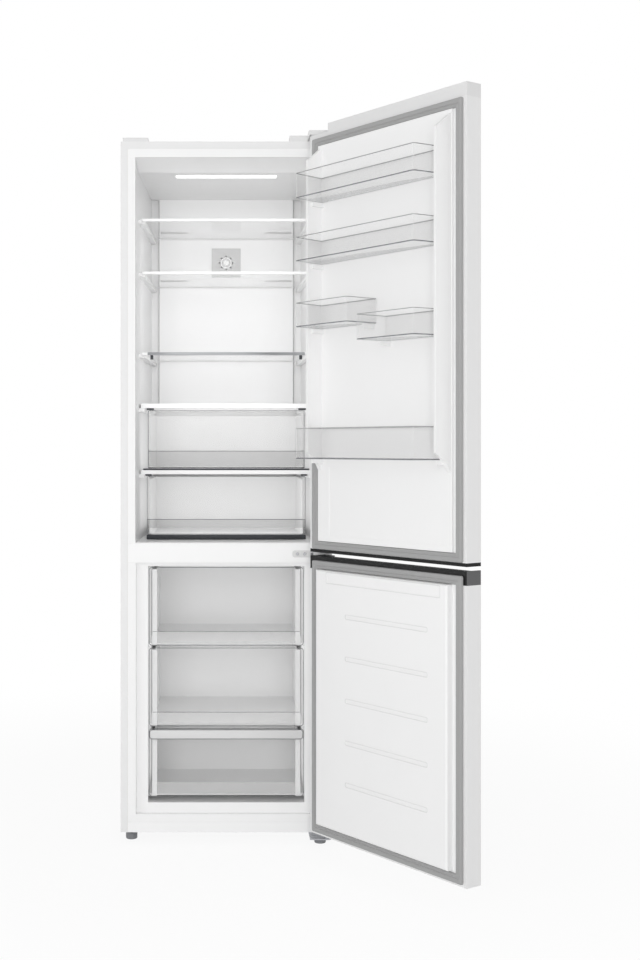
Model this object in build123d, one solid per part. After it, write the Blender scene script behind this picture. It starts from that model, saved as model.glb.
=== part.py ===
"""Free-standing bottom freezer refrigerator, both doors standing open.

Millimetres. X runs to the right of someone facing the open front, Y runs to the back, Z up.
The origin is on the floor, under the middle of the cabinet's footprint.
Cabinet pieces are placed by x, by depth behind the cabinet's front plane, and by z.
Door pieces are placed closed, by s from the hinge side edge, by n outwards from the inner
frame plane, and by z, and are then swung open about the hinge line.
"""

import os
from math import cos, radians, sin

from build123d import *

os.makedirs("parts", exist_ok=True)

# Cabinet
cabinet_width = 595.0
cabinet_depth = 595.0
cabinet_height = 1944.5
floor_gap = 32.0
skin = 1.0  # steel sheet of the cabinet and the doors
lip_width = 20.0  # front edge of the wrap, folded inwards
rear_fold = 15.0
fit_gap = 0.2  # between pieces that are screwed or clipped together
slide_gap = 0.3  # under and beside what slides
liner_wall = 2.0
small_round = 2.0  # on moulded edges
over = 1.0  # how far a cut runs past a face, and a joined form into its neighbour

# Compartments
bottom_strip = 29.0
freezer_sill = 22.0
freezer_height = 706.0
centre_strip = 58.5
head_wall = 44.5  # from the fridge compartment's ceiling to the cabinet's top
fridge_flange = 21.3
fridge_depth = 520.0
fridge_draft = 17.7  # how much narrower each side is at the back
freezer_flange = 23.0
freezer_recess = 16.0
drawer_bay_flange = 33.5
drawer_bay_top = 9.0
drawer_bay_sill = 29.0
freezer_depth = 520.0
step_wall = 35.0  # between the lowest drawer's bay and the compressor bay behind it
step_floor = 60.0  # between the compressor bay's roof and the stepped floor above it

# Compressor bay
bay_depth = 230.0
bay_height = 230.0
tray_sheet = 1.5

# Doors
door_gap = 8.0  # filled by the gasket
door_thickness = 50.0
freezer_door_drop = 31.3  # lower edge, below the freezer's floor
freezer_door_over = 28.0  # upper edge, above the freezer's ceiling
door_split = 10.3
door_overtop = 22.5  # the fridge door's upper edge, above the cabinet's top
door_open = 125.6
hinge_inset = 18.3
hinge_setback = 43.8  # hinge line in front of the inner frame plane
door_return = 9.0
top_cap_height = 34.0
top_notch_width = 75.0
top_notch_depth = 23.1
bottom_trim_height = 9.0
handle_height = 35.0
grip_width = 22.0
grip_inner = 22.0
grip_lip_drop = 15.0
grip_floor = 8.0
grip_rise = 20.0
grip_end = 45.0
cap_wall = 3.0

# Gaskets
gasket_width = 23.8
gasket_hinge_inset = 14.0
gasket_free_inset = 10.3
gasket_top_inset = 35.0
gasket_bottom_inset = 9.0
freezer_gasket_top_inset = 11.5
freezer_gasket_bottom_inset = 6.2
gasket_squeeze = 0.3

# Fridge door liner
plateau_rise = 7.5
plateau_inset = 42.0
dyke_rise = 55.0
dyke_crest = 8.0
dyke_slope = 6.0
dyke_hinge_inset = 42.5
dyke_free_inset = 43.0
dyke_below_bin = 32.0  # its lower end, below the bottle bin
dyke_knee_rise = 24.0  # where the lower end's steep foot turns to the longer slope
dyke_knee_run = 25.0
dyke_low_run = 50.0
dyke_top_margin = 68.0
dyke_top_run = 38.0
lower_recess_hinge_inset = 89.0
lower_recess_free_inset = 59.0
lower_recess_lift = 48.7  # above the door's lower edge
lower_recess_below_bin = 23.0
press_depth = 1.0  # of shapes pressed into the liners

# Freezer door liner
freezer_plateau_rise = 20.0
freezer_plateau_hinge_inset = 45.0
freezer_plateau_free_inset = 48.0
freezer_plateau_low_gap = 3.3
freezer_plateau_round = 6.0
panel_rib_count = 5
panel_rib_pitch = 111.5
panel_rib_height = 12.0
panel_rib_hinge_inset = 170.0
panel_rib_free_inset = 115.0
panel_rib_drop = 146.0  # the first rib, below the door's upper edge
panel_window_hinge_inset = 91.0
panel_window_free_inset = 71.0
panel_window_drop = 39.0
panel_window_height = 30.0

# Door bins: drops from the door's upper edge, rises from its lower edge
bin_wall = 2.5
bin_reach = 112.0
bin_front_hinge_inset = 73.0
bin_front_free_inset = 67.0
bin_side_gap = 0.6
bin_radius = 8.0
bin_1_drop = 217.5
bin_1_height = 68.5
bin_2_drop = 386.0
bin_2_height = 66.0
half_bin_hinge_drop = 562.0
half_bin_free_drop = 611.0
half_bin_height = 66.0
half_bin_hinge_gap = 16.5  # from the door's middle to the bin on the hinge side
half_bin_free_gap = 20.0
bottle_bin_rise = 257.7
bottle_bin_height = 83.0
lug_height = 12.0
lug_length = 9.0
lug_reach = 36.0

# Glass shelves
glass = 4.0
shelf_front = 112.0
shelf_back = 497.0
shelf_side_gap = 8.8
trim_height = 8.0
trim_deep = 12.0
trim_over = 1.0
glass_bite = 8.0
shelf_1_drop = 154.0  # from the compartment's ceiling
shelf_2_drop = 307.5
shelf_3_rise = 147.7  # from the crisper cover
ledge_width = 16.0
shoulder_width = 8.0
ledge_height = 10.0
shoulder_front = 106.0
ledge_end = 516.0

# Crispers
cover_rise = 394.8  # from the compartment's floor
cover_frame_height = 13.1
divider_rise = 201.5
divider_frame_height = 11.0
cover_bar = 12.0
crisper_front_depth = 115.0
crisper_front = 4.0
crisper_wall = 2.5
crisper_back = 482.0
crisper_side_gap = 24.9
crisper_low_side_gap = 21.9
crisper_bevel = 6.0
crisper_bevel_height = 10.0
crisper_front_drop = 6.0
crisper_tub_drop = 15.0
crisper_front_lift = 5.0
crisper_floor_rib = 10.0
crisper_rib_place = 150.0
crisper_rib_width = 14.0
handle_lip = 14.0

# Freezer drawers
drawer_front_depth = 22.0
drawer_front = 4.0
drawer_front_gap = 5.0
drawer_front_side_gap = 1.5
drawer_bay_end_gap = 3.0
drawer_low_gap = 14.0
drawer_step_gap = 3.0  # the middle front, above the stepped floor
middle_drawer_height = 223.5
drawer_wall = 2.5
drawer_side_gap = 11.0
drawer_post = 14.0
drawer_post_deep = 12.0
drawer_post_drop = 7.0
drawer_post_lift = 1.0
drawer_back_gap = 8.0
drawer_floor_lift = 5.0
drawer_tub_drop = 26.0
drawer_low_wall = 35.0
drawer_ledge_width = 18.0
drawer_ledge_height = 8.0
drawer_ledge_gap = 10.0
drawer_corner = 8.0
drawer_bar_height = 26.0
drawer_bar_deep = 6.0
drawer_bar_drop = 3.0

# Cold air side
duct_side_gap = 25.0
duct_deep = 14.0
duct_lift = 14.5
duct_wall = 2.0
vent_size = 92.0
vent_lift = 32.5  # above the second shelf
vent_thick = 2.5
vent_hole = 60.0
vent_ring = 20.0
vent_ring_count = 8
slot_height = 6.0
slot_width = 90.0
ceiling_drop = 27.0
ceiling_slope = 78.0
ceiling_front = 6.0
ceiling_wall = 2.5
lens_half = 146.0
lens_front = 120.0
lens_deep = 35.0
lens_thick = 4.0
lens_proud = 1.0
cold_side_room = 67.5  # behind the evaporator cover
cover_sheet = 2.5
evaporator_side_gap = 46.0
evaporator_front_gap = 9.5
evaporator_back_gap = 8.0
fin_count = 14
fin_thick = 1.0
fin_tall = 190.0
coil_tube = 8.0
coil_rows = 5
fan_drop = 90.0  # from the drawer bay's ceiling
fan_hole = 110.0
impeller_radius = 50.0
impeller_hub = 16.0
impeller_deep = 18.0
blade_count = 5
blade_thick = 2.0
blade_pitch = 35.0
motor_radius = 24.0
motor_deep = 22.0
shaft_radius = 2.0
shaft_fit = 0.05

# Compressor bay pieces
compressor_inset = 187.5
compressor_radius = 76.0
compressor_body = 150.0
compressor_lift = 12.0
compressor_foot = 20.0
compressor_plate = 3.0
compressor_plate_reach = 18.0
drip_gap = 6.0
drip_wall = 2.0
drip_height = 26.0
drip_half_x = 92.0
drip_half_y = 80.0
drip_leg = 10.0
condenser_side_gap = 35.5
condenser_gap = 130.0  # to the compressor's middle
condenser_rows = 6
condenser_pitch = 28.0
condenser_bend = 0.45  # of the pitch, so that a short straight is left between two bends
condenser_tube = 5.0
condenser_lift = 24.0
condenser_wire = 2.0
condenser_wires = 13
condenser_back_gap = 40.0
gland_radius = 9.0
gland_length = 16.0
gland_inset = 57.5
gland_drop = 24.0

# Hinges, caps, feet and rollers
pin_radius = 3.0
pin_fit = 0.06
bush_wall = 1.9
pin_engage = 16.0
top_pin_engage = 10.0
hinge_plate = 3.5
hinge_plate_half = 24.0
top_plate_back = 62.0
hinge_nose = 12.0
top_cover_height = 17.0
top_cover_reach = 119.0
top_cover_wall = 2.0
top_cover_back = 72.0
nose_reach = 51.0
cap_left_width = 72.0
cap_left_inset = 6.0
cap_left_height = 11.0
cap_left_deep = 60.0
middle_arm_lift = 3.0
middle_flange_reach = 93.2
middle_flange_rise = 2.0
middle_flange_height = 19.5
middle_flange_round = 7.0
middle_screw_count = 3
middle_screw_margin = 14.0
bottom_collar_radius = 8.0
bottom_collar_gap = 0.5
bottom_plate_reach = 47.2
bottom_plate_back = 64.0
bottom_rib_drop = 22.0
bottom_rib_length = 18.0
bottom_rib_taper = 4.0
screw_head_radius = 4.5
screw_head = 1.6
foot_radius = 16.0
foot_height = 18.0
right_foot_height = 16.0
foot_stem = 5.0
foot_fit = 0.1
left_foot_inset = 27.5
left_foot_depth = 56.0
right_foot_inset = 32.5
right_foot_depth = 14.0
boss_radius = 11.0
boss_drop = 12.0
roller_radius = 15.0
roller_width = 18.0
roller_inset = 62.5
roller_back = 35.0
axle_radius = 3.0
axle_fit = 0.1
ear_thick = 2.0
ear_gap = 1.0
ear_half = 12.0

# Worked out from the sizes above
half_width = cabinet_width / 2
front = -cabinet_depth / 2
cabinet_top = floor_gap + cabinet_height
tray_top = floor_gap + tray_sheet
strip_top = floor_gap + bottom_strip
freezer_floor = strip_top + freezer_sill
freezer_top = freezer_floor + freezer_height
fridge_floor = freezer_top + centre_strip
fridge_top = cabinet_top - head_wall
flange_half = half_width - lip_width - fit_gap
fridge_half = half_width - lip_width - fridge_flange
freezer_half = half_width - lip_width - freezer_flange
bay_half = freezer_half - drawer_bay_flange
bay_floor = freezer_floor + drawer_bay_sill
bay_ceiling = freezer_top - drawer_bay_top
bay_front = cabinet_depth - bay_depth
bay_top = floor_gap + bay_height
low_bay_depth = bay_front - step_wall
step_z = bay_top + step_floor
cover_top = fridge_floor + cover_rise
divider_top = fridge_floor + divider_rise
covers = ((cover_top, cover_frame_height), (divider_top, divider_frame_height))
shelf_tops = {
    1: fridge_top - shelf_1_drop,
    2: fridge_top - shelf_2_drop,
    3: cover_top + shelf_3_rise,
}
vent_bottom = shelf_tops[2] + vent_lift
evaporator_cover_depth = freezer_depth - cold_side_room - cover_sheet
evaporator_front = evaporator_cover_depth + cover_sheet + evaporator_front_gap
evaporator_half = bay_half - evaporator_side_gap
fin_deep = cold_side_room - evaporator_front_gap - evaporator_back_gap
fan_height = bay_ceiling - fan_drop
compressor_x = half_width - compressor_inset
hinge_x = half_width - hinge_inset
hinge_depth = -door_gap - hinge_setback
freezer_door_lift = freezer_floor - freezer_door_drop
freezer_door_top = freezer_top + freezer_door_over
fridge_door_lift = freezer_door_top + door_split
fridge_door_top = cabinet_top + door_overtop
full_bins = {
    1: (fridge_door_top - bin_1_drop, bin_1_height),
    2: (fridge_door_top - bin_2_drop, bin_2_height),
    5: (fridge_door_lift + bottle_bin_rise, bottle_bin_height),
}
half_bin_hinge = (fridge_door_top - half_bin_hinge_drop, half_bin_height)
half_bin_free = (fridge_door_top - half_bin_free_drop, half_bin_height)
dyke_bottom = full_bins[5][0] - dyke_below_bin
middle_flange_left = hinge_x - middle_flange_reach
bottom_plate_left = hinge_x - bottom_plate_reach
left_foot_x = left_foot_inset - half_width
right_foot_x = half_width - right_foot_inset
roller_x = half_width - roller_inset


def block(x, d, z):
    """Box from its lowest and highest x, depth behind the front plane, and z."""
    size = Box(x[1] - x[0], d[1] - d[0], z[1] - z[0])
    return Pos((x[0] + x[1]) / 2, front + (d[0] + d[1]) / 2, (z[0] + z[1]) / 2) * size


def plan_prism(points, z):
    """Outline of (x, depth) points carried up from z[0] to z[1]."""
    outline = Polygon(*[(x, front + d) for x, d in points], align=None)
    return Pos(0, 0, z[0]) * extrude(outline, z[1] - z[0], dir=(0, 0, 1))


def side_prism(points, x):
    """Outline of (depth, z) points carried across from x[0] to x[1]."""
    outline = Polygon(*[(front + d, z) for d, z in points], align=None)
    return extrude(Plane.YZ.offset(x[0]) * outline, x[1] - x[0], dir=(1, 0, 0))


def face_prism(points, d):
    """Outline of (x, z) points carried back from depth d[0] to d[1]."""
    outline = Polygon(*points, align=None)
    plane = Plane(origin=(0, front + d[1], 0), x_dir=(1, 0, 0), z_dir=(0, -1, 0))
    return extrude(plane * outline, d[1] - d[0], dir=(0, -1, 0))


def post(x, d, radius, z):
    """Upright cylinder."""
    return Pos(x, front + d, (z[0] + z[1]) / 2) * Cylinder(radius, z[1] - z[0])


def bar_x(d, z, radius, x):
    """Cylinder lying along X."""
    middle = Pos((x[0] + x[1]) / 2, front + d, z)
    return middle * Rot(0, 90, 0) * Cylinder(radius, x[1] - x[0])


def bar_y(x, z, radius, d):
    """Cylinder lying along Y."""
    middle = Pos(x, front + (d[0] + d[1]) / 2, z)
    return middle * Rot(90, 0, 0) * Cylinder(radius, d[1] - d[0])


def door_block(s, n, z):
    """Box on a closed door."""
    x = (half_width - s[1], half_width - s[0])
    return block(x, (-door_gap - n[1], -door_gap - n[0]), z)


def door_plan(points, z):
    """Outline of (s, n) points on a closed door, carried up from z[0] to z[1]."""
    return plan_prism([(half_width - s, -door_gap - n) for s, n in points], z)


def door_side(points, s):
    """Outline of (n, z) points on a closed door, carried along it from s[0] to s[1]."""
    outline = [(-door_gap - n, z) for n, z in points]
    return side_prism(outline, (half_width - s[1], half_width - s[0]))


def swing(shape):
    """Turns a closed door's piece open about the hinge line."""
    line = Axis((hinge_x, front + hinge_depth, 0), (0, 0, 1))
    return shape.rotate(line, door_open)


def write(name, *solids):
    shape = solids[0] if len(solids) == 1 else Compound(children=list(solids))
    export_step(shape, f"parts/{name}.step")


# Cabinet structure


def outer_wrap():
    """Two sides and the top in one folded sheet, with front lips and rear folds."""
    inner = half_width - skin
    shape = block((-half_width, half_width), (0, cabinet_depth), (floor_gap, cabinet_top))
    shape -= block((-inner, inner), (skin, cabinet_depth - skin), (floor_gap, cabinet_top - skin))
    mouth = half_width - lip_width
    shape -= block((-mouth, mouth), (0, skin), (floor_gap, cabinet_top - lip_width))
    back = half_width - rear_fold
    shape -= block(
        (-back, back), (cabinet_depth - skin, cabinet_depth), (floor_gap, cabinet_top - rear_fold)
    )
    return shape


def back_panel():
    side = half_width - skin - fit_gap
    z = (bay_top + tray_sheet + fit_gap, cabinet_top - skin - fit_gap)
    return block((-side, side), (cabinet_depth - 2 * skin, cabinet_depth - skin), z)


def roller_ears():
    """Two ears each side that carry the roller axle."""
    depth = cabinet_depth - roller_back
    ears = []
    for side in (-1, 1):
        for edge in (-1, 1):
            near = roller_width / 2 + ear_gap
            x = sorted(side * roller_x + edge * reach for reach in (near, near + ear_thick))
            low = roller_radius - ear_half / 2 - axle_radius
            ears.append(block(x, (depth - ear_half, depth + ear_half), (low, floor_gap)))
    return ears


def base_tray():
    """Bottom sheet, stepped up and over the compressor bay, with ears and a foot boss."""
    side = half_width - skin - fit_gap
    shape = block((-side, side), (liner_wall + fit_gap, cabinet_depth - skin), (floor_gap, tray_top))
    wall = (bay_front, bay_front + tray_sheet)
    shape += block((-side, side), wall, (floor_gap, bay_top + tray_sheet))
    roof = (bay_front, cabinet_depth - 2 * skin)
    shape += block((-side, side), roof, (bay_top, bay_top + tray_sheet))
    for ear in roller_ears():
        shape += ear
    boss = (floor_gap - boss_drop, tray_top)
    shape += post(left_foot_x, left_foot_depth, boss_radius, boss)
    shape -= post(left_foot_x, left_foot_depth, foot_stem + foot_fit, boss)
    axle = (-cabinet_width, cabinet_width)
    shape -= bar_x(cabinet_depth - roller_back, roller_radius, axle_radius + axle_fit, axle)
    return shape


def liner_half(depth, grow=0.0):
    """Half width of the fridge compartment at a depth."""
    return fridge_half + grow - fridge_draft * depth / fridge_depth


def fridge_space(grow=0.0):
    """The fridge compartment, or with grow the outside of its liner."""
    near, far = liner_half(0, grow), liner_half(fridge_depth, grow)
    back = fridge_depth + grow
    plan = [(-near, 0), (near, 0), (far, back), (-far, back)]
    return plan_prism(plan, (fridge_floor - grow, fridge_top + grow))


def ledge(top, width, height, depths):
    """A pair of moulded ledges along the fridge compartment's side walls."""
    pair = []
    for side in (-1, 1):
        outer = [liner_half(d) + liner_wall / 2 for d in depths]
        inner = [liner_half(d) - width for d in depths]
        plan = [(outer[0], depths[0]), (inner[0], depths[0]), (inner[1], depths[1])]
        plan.append((outer[1], depths[1]))
        pair.append(plan_prism([(side * x, d) for x, d in plan], (top - height, top)))
    return pair


def fridge_ledges():
    ledges = []
    for top in shelf_tops.values():
        seat = top - glass - slide_gap
        ledges += ledge(seat, shoulder_width, ledge_height, (shoulder_front, ledge_end))
        behind_trim = shelf_front + trim_deep + 2 * slide_gap
        ledges += ledge(seat, ledge_width, ledge_height, (behind_trim, ledge_end))
    for top, height in covers:
        seat = top - height - fit_gap
        ledges += ledge(seat, ledge_width, ledge_height, (shelf_front, ledge_end))
    return ledges


def fridge_liner():
    shape = fridge_space(liner_wall) - fridge_space()
    top = cabinet_top - lip_width - fit_gap
    flange = block((-flange_half, flange_half), (0, liner_wall), (fridge_floor - liner_wall, top))
    shape += flange - fridge_space()
    for piece in fridge_ledges():
        shape += piece
    for side in (-1, 1):
        x = sorted(side * (crisper_rib_place + edge) for edge in (0, crisper_rib_width))
        z = (fridge_floor - liner_wall / 2, fridge_floor + crisper_floor_rib)
        shape += block(x, (shelf_front + crisper_floor_rib, ledge_end), z)
    return shape


def freezer_space(grow=0.0):
    """The stepped drawer bay and the shallow recess in front of it."""
    low, high = bay_floor - grow, bay_ceiling + grow
    step, back = low_bay_depth + grow, freezer_depth + grow
    start = freezer_recess / 2
    side = [(start, low), (step, low), (step, step_z - grow), (back, step_z - grow)]
    side += [(back, high), (start, high)]
    shape = side_prism(side, (-bay_half - grow, bay_half + grow))
    wide = freezer_half + grow
    z = (freezer_floor - grow, freezer_top + grow)
    return shape + block((-wide, wide), (0, freezer_recess + grow), z)


def drawer_fronts():
    """Lowest and highest z of each drawer front; the middle one clears the stepped floor."""
    middle_low = step_z + drawer_step_gap
    middle_high = middle_low + middle_drawer_height
    return {
        "top": (middle_high + drawer_front_gap, bay_ceiling - drawer_bay_end_gap),
        "middle": (middle_low, middle_high),
        "bottom": (bay_floor + drawer_low_gap, middle_low - drawer_front_gap),
    }


def drawer_seat(name):
    """Underside of a drawer's tub."""
    return drawer_fronts()[name][0] + drawer_floor_lift


def freezer_ledges():
    """Runners moulded into the drawer bay's side walls, one pair under each tub."""
    ledges = []
    start = drawer_front_depth + drawer_front + drawer_post_deep + drawer_ledge_gap
    for name in drawer_fronts():
        end = low_bay_depth if name == "bottom" else freezer_depth
        top = drawer_seat(name) - slide_gap
        for side in (-1, 1):
            x = sorted(side * reach for reach in (bay_half - drawer_ledge_width, bay_half + over))
            ledges.append(block(x, (start, end), (top - drawer_ledge_height, top)))
    return ledges


def freezer_liner():
    shape = freezer_space(liner_wall) - freezer_space()
    z = (strip_top + fit_gap, freezer_top + liner_wall)
    flange = block((-flange_half, flange_half), (0, liner_wall), z)
    shape += flange - freezer_space()
    for piece in freezer_ledges():
        shape += piece
    return shape


def front_rails():
    """Strip between the two compartments, and strip under the freezer."""
    gap = liner_wall + fit_gap
    centre = block(
        (-flange_half, flange_half), (0, liner_wall), (freezer_top + gap, fridge_floor - gap)
    )
    bottom = block((-flange_half, flange_half), (0, liner_wall), (floor_gap, strip_top))
    return centre, bottom


def cabinet_foam():
    """Rigid foam that fills the walls between the sheet metal and the liners."""
    side = half_width - skin
    z = (tray_top, cabinet_top - skin)
    shape = block((-side, side), (liner_wall + fit_gap, cabinet_depth - 2 * skin), z)
    shape -= fridge_space(liner_wall)
    shape -= freezer_space(liner_wall)
    bay = (floor_gap, bay_top + tray_sheet)
    return shape - block((-half_width, half_width), (bay_front, cabinet_depth), bay)


# Fridge compartment fittings


def duct_panel():
    """Shallow tray over the air duct on the back wall, with outlet slots each side."""
    back = fridge_depth - fit_gap
    depths = (back - duct_deep, back)
    half = liner_half(fridge_depth) - duct_side_gap
    low, high = fridge_floor + duct_lift, fridge_top - ceiling_drop - fit_gap
    shape = block((-half, half), depths, (low, high))
    inner = half - duct_wall
    z = (low + duct_wall, high - duct_wall)
    shape -= block((-inner, inner), (depths[0] + duct_wall, back), z)
    hole = bar_y(0, vent_bottom + vent_size / 2, vent_hole / 2, (depths[0] - over, back))
    shape -= hole
    for top in shelf_tops.values():
        z = (top + 3 * slot_height, top + 4 * slot_height)
        for side in (-1, 1):
            x = sorted(side * (half - reach) for reach in (slot_height, slot_width))
            shape -= block(x, (depths[0] - over, depths[0] + duct_wall + over), z)
    return shape


def vent_cover():
    """Square cover with a ring of openings over the duct's filter."""
    back = fridge_depth - fit_gap - duct_deep
    z = (vent_bottom, vent_bottom + vent_size)
    shape = block((-vent_size / 2, vent_size / 2), (back - vent_thick, back), z)
    middle = vent_bottom + vent_size / 2
    for step in range(vent_ring_count):
        angle = radians(360 / vent_ring_count * step)
        x, z = vent_ring * cos(angle), middle + vent_ring * sin(angle)
        shape -= bar_y(x, z, slot_height / 2, (back - vent_thick - over, back + over))
    return shape


def ceiling_profile(inset=0.0):
    """Side outline (depth, z) of the ceiling panel, sloping up at the front."""
    low = fridge_top - ceiling_drop + inset
    high = fridge_top - fit_gap
    back = fridge_depth - duct_deep / 2 - inset
    start = ceiling_front + 2 * inset
    return [(start, high), (ceiling_slope + inset / 2, low), (back, low), (back, high)]


def ceiling_plan(inset):
    near, far = liner_half(0, -inset), liner_half(fridge_depth, -inset)
    return [(-near, 0), (near, 0), (far, fridge_depth), (-far, fridge_depth)]


def ceiling_panel():
    """Light and control housing under the liner's ceiling, with a slot for the lens."""
    side = liner_half(0)
    shell = side_prism(ceiling_profile(), (-side, side))
    inside = ceiling_profile(ceiling_wall)
    core = side_prism(inside + [(inside[0][0], fridge_top)], (-side, side))
    z = (fridge_top - 2 * ceiling_drop, fridge_top + over)
    shape = shell & plan_prism(ceiling_plan(fit_gap), z)
    shape -= core & plan_prism(ceiling_plan(fit_gap + ceiling_wall), z)
    hole = (fridge_top - 2 * ceiling_drop, fridge_top - ceiling_drop + 2 * ceiling_wall)
    return shape - block((-lens_half, lens_half), (lens_front, lens_front + lens_deep), hole)


def light_lens():
    low = fridge_top - ceiling_drop - lens_proud
    half = lens_half - fit_gap
    depths = (lens_front + fit_gap, lens_front + lens_deep - fit_gap)
    return block((-half, half), depths, (low, low + lens_thick))


def shelf_plan(front_depth, back_depth, side_gap):
    near, far = liner_half(shelf_front) - side_gap, liner_half(back_depth) - side_gap
    return [(-near, front_depth), (near, front_depth), (far, back_depth), (-far, back_depth)]


def shelf_glass(top):
    plan = shelf_plan(shelf_front + trim_deep - glass_bite, shelf_back - trim_over, shelf_side_gap)
    return plan_prism(plan, (top - glass, top))


def shelf_trim(top):
    """Front bar that holds the glass, and the narrow bar along its back edge."""
    half = liner_half(shelf_front) - shelf_side_gap
    z = (top + trim_over - trim_height, top + trim_over)
    bar = block((-half, half), (shelf_front, shelf_front + trim_deep), z)
    bar = fillet(bar.edges().filter_by(Axis.X).group_by(Axis.Y)[0], small_round)
    bar -= shelf_glass(top)
    far = liner_half(shelf_back) - shelf_side_gap - ledge_width
    back = block((-far, far), (shelf_back - glass_bite, shelf_back), (z[0] + glass, z[1]))
    return bar, back - shelf_glass(top)


def cover_glass(top):
    plan = shelf_plan(shelf_front + trim_over, shelf_back - trim_over, shelf_side_gap)
    inset = [(x * (1 - 2 * trim_over / abs(x)), d) for x, d in plan]
    inset = [(x, d + (glass if index < 2 else -glass)) for index, (x, d) in enumerate(inset)]
    return plan_prism(inset, (top - glass, top))


def cover_frame(top, height):
    """Frame round a fixed glass: front bar, side bars and back bar."""
    outer = shelf_plan(shelf_front, shelf_back, shelf_side_gap - 4 * trim_over)
    z = (top - height, top)
    shape = plan_prism(outer, z)
    opening = [
        (x - cover_bar * x / abs(x), d + (cover_bar if index < 2 else -cover_bar))
        for index, (x, d) in enumerate(outer)
    ]
    shape -= plan_prism(opening, (z[0] - over, z[1] + over))
    return shape - cover_glass(top)


def crisper_spans():
    """Side gap, lowest z and highest z of each crisper."""
    low = fridge_floor + crisper_floor_rib + slide_gap
    return {
        "upper": (crisper_side_gap, divider_top + slide_gap, cover_top - cover_frame_height),
        "lower": (crisper_low_side_gap, low, divider_top - divider_frame_height),
    }


def crisper_section(half, low, high, inset=0.0):
    """Front outline (x, z) of a crisper's tub, drawn in towards its floor."""
    half -= inset
    low += inset
    base = half - crisper_bevel
    bevel = low + crisper_bevel_height
    return [(-base, low), (base, low), (half, bevel), (half, high), (-half, high), (-half, bevel)]


def crisper(name):
    """Clear tub with a tall front and a finger lip along the front's top edge."""
    side_gap, low, high = crisper_spans()[name]
    half = liner_half(crisper_front_depth) - side_gap
    tub_half = min(half, liner_half(crisper_back) - ledge_width) - 2 * slide_gap
    rear = crisper_front_depth + crisper_front
    tub = face_prism(crisper_section(tub_half, low, high - crisper_tub_drop), (rear, crisper_back))
    inside = crisper_section(tub_half, low, high + over, crisper_wall)
    tub -= face_prism(inside, (rear - over, crisper_back - crisper_wall))
    z = (low + crisper_front_lift, high - crisper_front_drop)
    plate = block((-half, half), (crisper_front_depth, rear), z)
    plate = fillet(plate.edges().filter_by(Axis.Y), crisper_front)
    lip_depths = (rear - over, rear + handle_lip)
    lip = block((-tub_half, tub_half), lip_depths, (z[1] - crisper_wall, z[1]))
    return tub + plate + lip


# Freezer drawers


def drawer_front_panel(name):
    """Clear front plate; the lowest one carries the grip bar."""
    half = bay_half - drawer_front_side_gap
    z = drawer_fronts()[name]
    depths = (drawer_front_depth, drawer_front_depth + drawer_front)
    plate = block((-half, half), depths, z)
    plate = fillet(plate.edges().filter_by(Axis.Y), drawer_corner)
    if name == "bottom":
        top = z[1] - drawer_bar_drop
        bar_half = half - drawer_bar_drop
        bar_depths = (depths[0] - drawer_bar_deep, depths[0])
        bar = block((-bar_half, bar_half), bar_depths, (top - drawer_bar_height, top))
        plate += fillet(bar.edges().filter_by(Axis.Y), drawer_corner)
    return plate


def drawer_body(name):
    """White tub with two front posts and a low front wall behind the clear plate."""
    low = drawer_seat(name)
    front_low, front_high = drawer_fronts()[name]
    high = front_high - drawer_tub_drop
    if name == "bottom":
        high = front_high - drawer_bar_height - 2 * drawer_bar_drop
    half = bay_half - drawer_side_gap
    start = drawer_front_depth + drawer_front
    bay = low_bay_depth if name == "bottom" else evaporator_cover_depth
    end = bay - drawer_back_gap
    shape = block((-half, half), (start, end), (low, high))
    post_half = half - drawer_post
    inner = half - drawer_wall
    shape -= block((-inner, inner), (start + drawer_wall, end - drawer_wall), (low + drawer_wall, high))
    shape -= block((-post_half, post_half), (start, start + drawer_wall), (low + drawer_low_wall, high))
    posts = (front_low + drawer_post_lift, front_high - drawer_post_drop)
    for side in (-1, 1):
        x = sorted(side * reach for reach in (post_half, half))
        shape += block(x, (start, start + drawer_post_deep), posts)
    return shape


# Freezer cold side


def evaporator_cover():
    """Panel in front of the evaporator, with the fan's opening and a return slot."""
    half = bay_half - fit_gap
    ledge_room = drawer_ledge_width + fit_gap
    depths = (evaporator_cover_depth, evaporator_cover_depth + cover_sheet)
    shape = block((-half, half), depths, (step_z + fit_gap, bay_ceiling - fit_gap))
    through = (depths[0] - over, depths[1] + over)
    shape -= bar_y(0, fan_height, fan_hole / 2, through)
    wide = half - 2 * ledge_room
    shape -= block((-wide, wide), through, (step_z + 2 * coil_tube, step_z + 4 * coil_tube))
    for name in ("top", "middle"):
        top = drawer_seat(name) - slide_gap + fit_gap
        z = (top - drawer_ledge_height - 2 * fit_gap, top)
        for side in (-1, 1):
            x = sorted(side * reach for reach in (half - ledge_room, half + over))
            shape -= block(x, through, z)
    return shape


def evaporator():
    """Finned coil that stands on the step behind the drawers."""
    low = step_z + fit_gap
    shape = None
    pitch = 2 * evaporator_half / (fin_count - 1)
    back = evaporator_front + fin_deep
    for index in range(fin_count):
        x = index * pitch - evaporator_half - fin_thick / 2
        fin = block((x, x + fin_thick), (evaporator_front, back), (low, low + fin_tall))
        shape = fin if shape is None else shape + fin
    row_pitch = fin_tall / coil_rows
    middle = evaporator_front + fin_deep / 2
    reach = evaporator_half + coil_tube
    for row in range(coil_rows):
        z = low + row_pitch * (row + 1 / 2)
        shape += bar_x(middle, z, coil_tube / 2, (-reach, reach))
        if row:
            side = 1 if row % 2 else -1
            bend = post(side * (reach - coil_tube / 2), middle, coil_tube / 2, (z - row_pitch, z))
            shape += bend
    return shape


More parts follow.
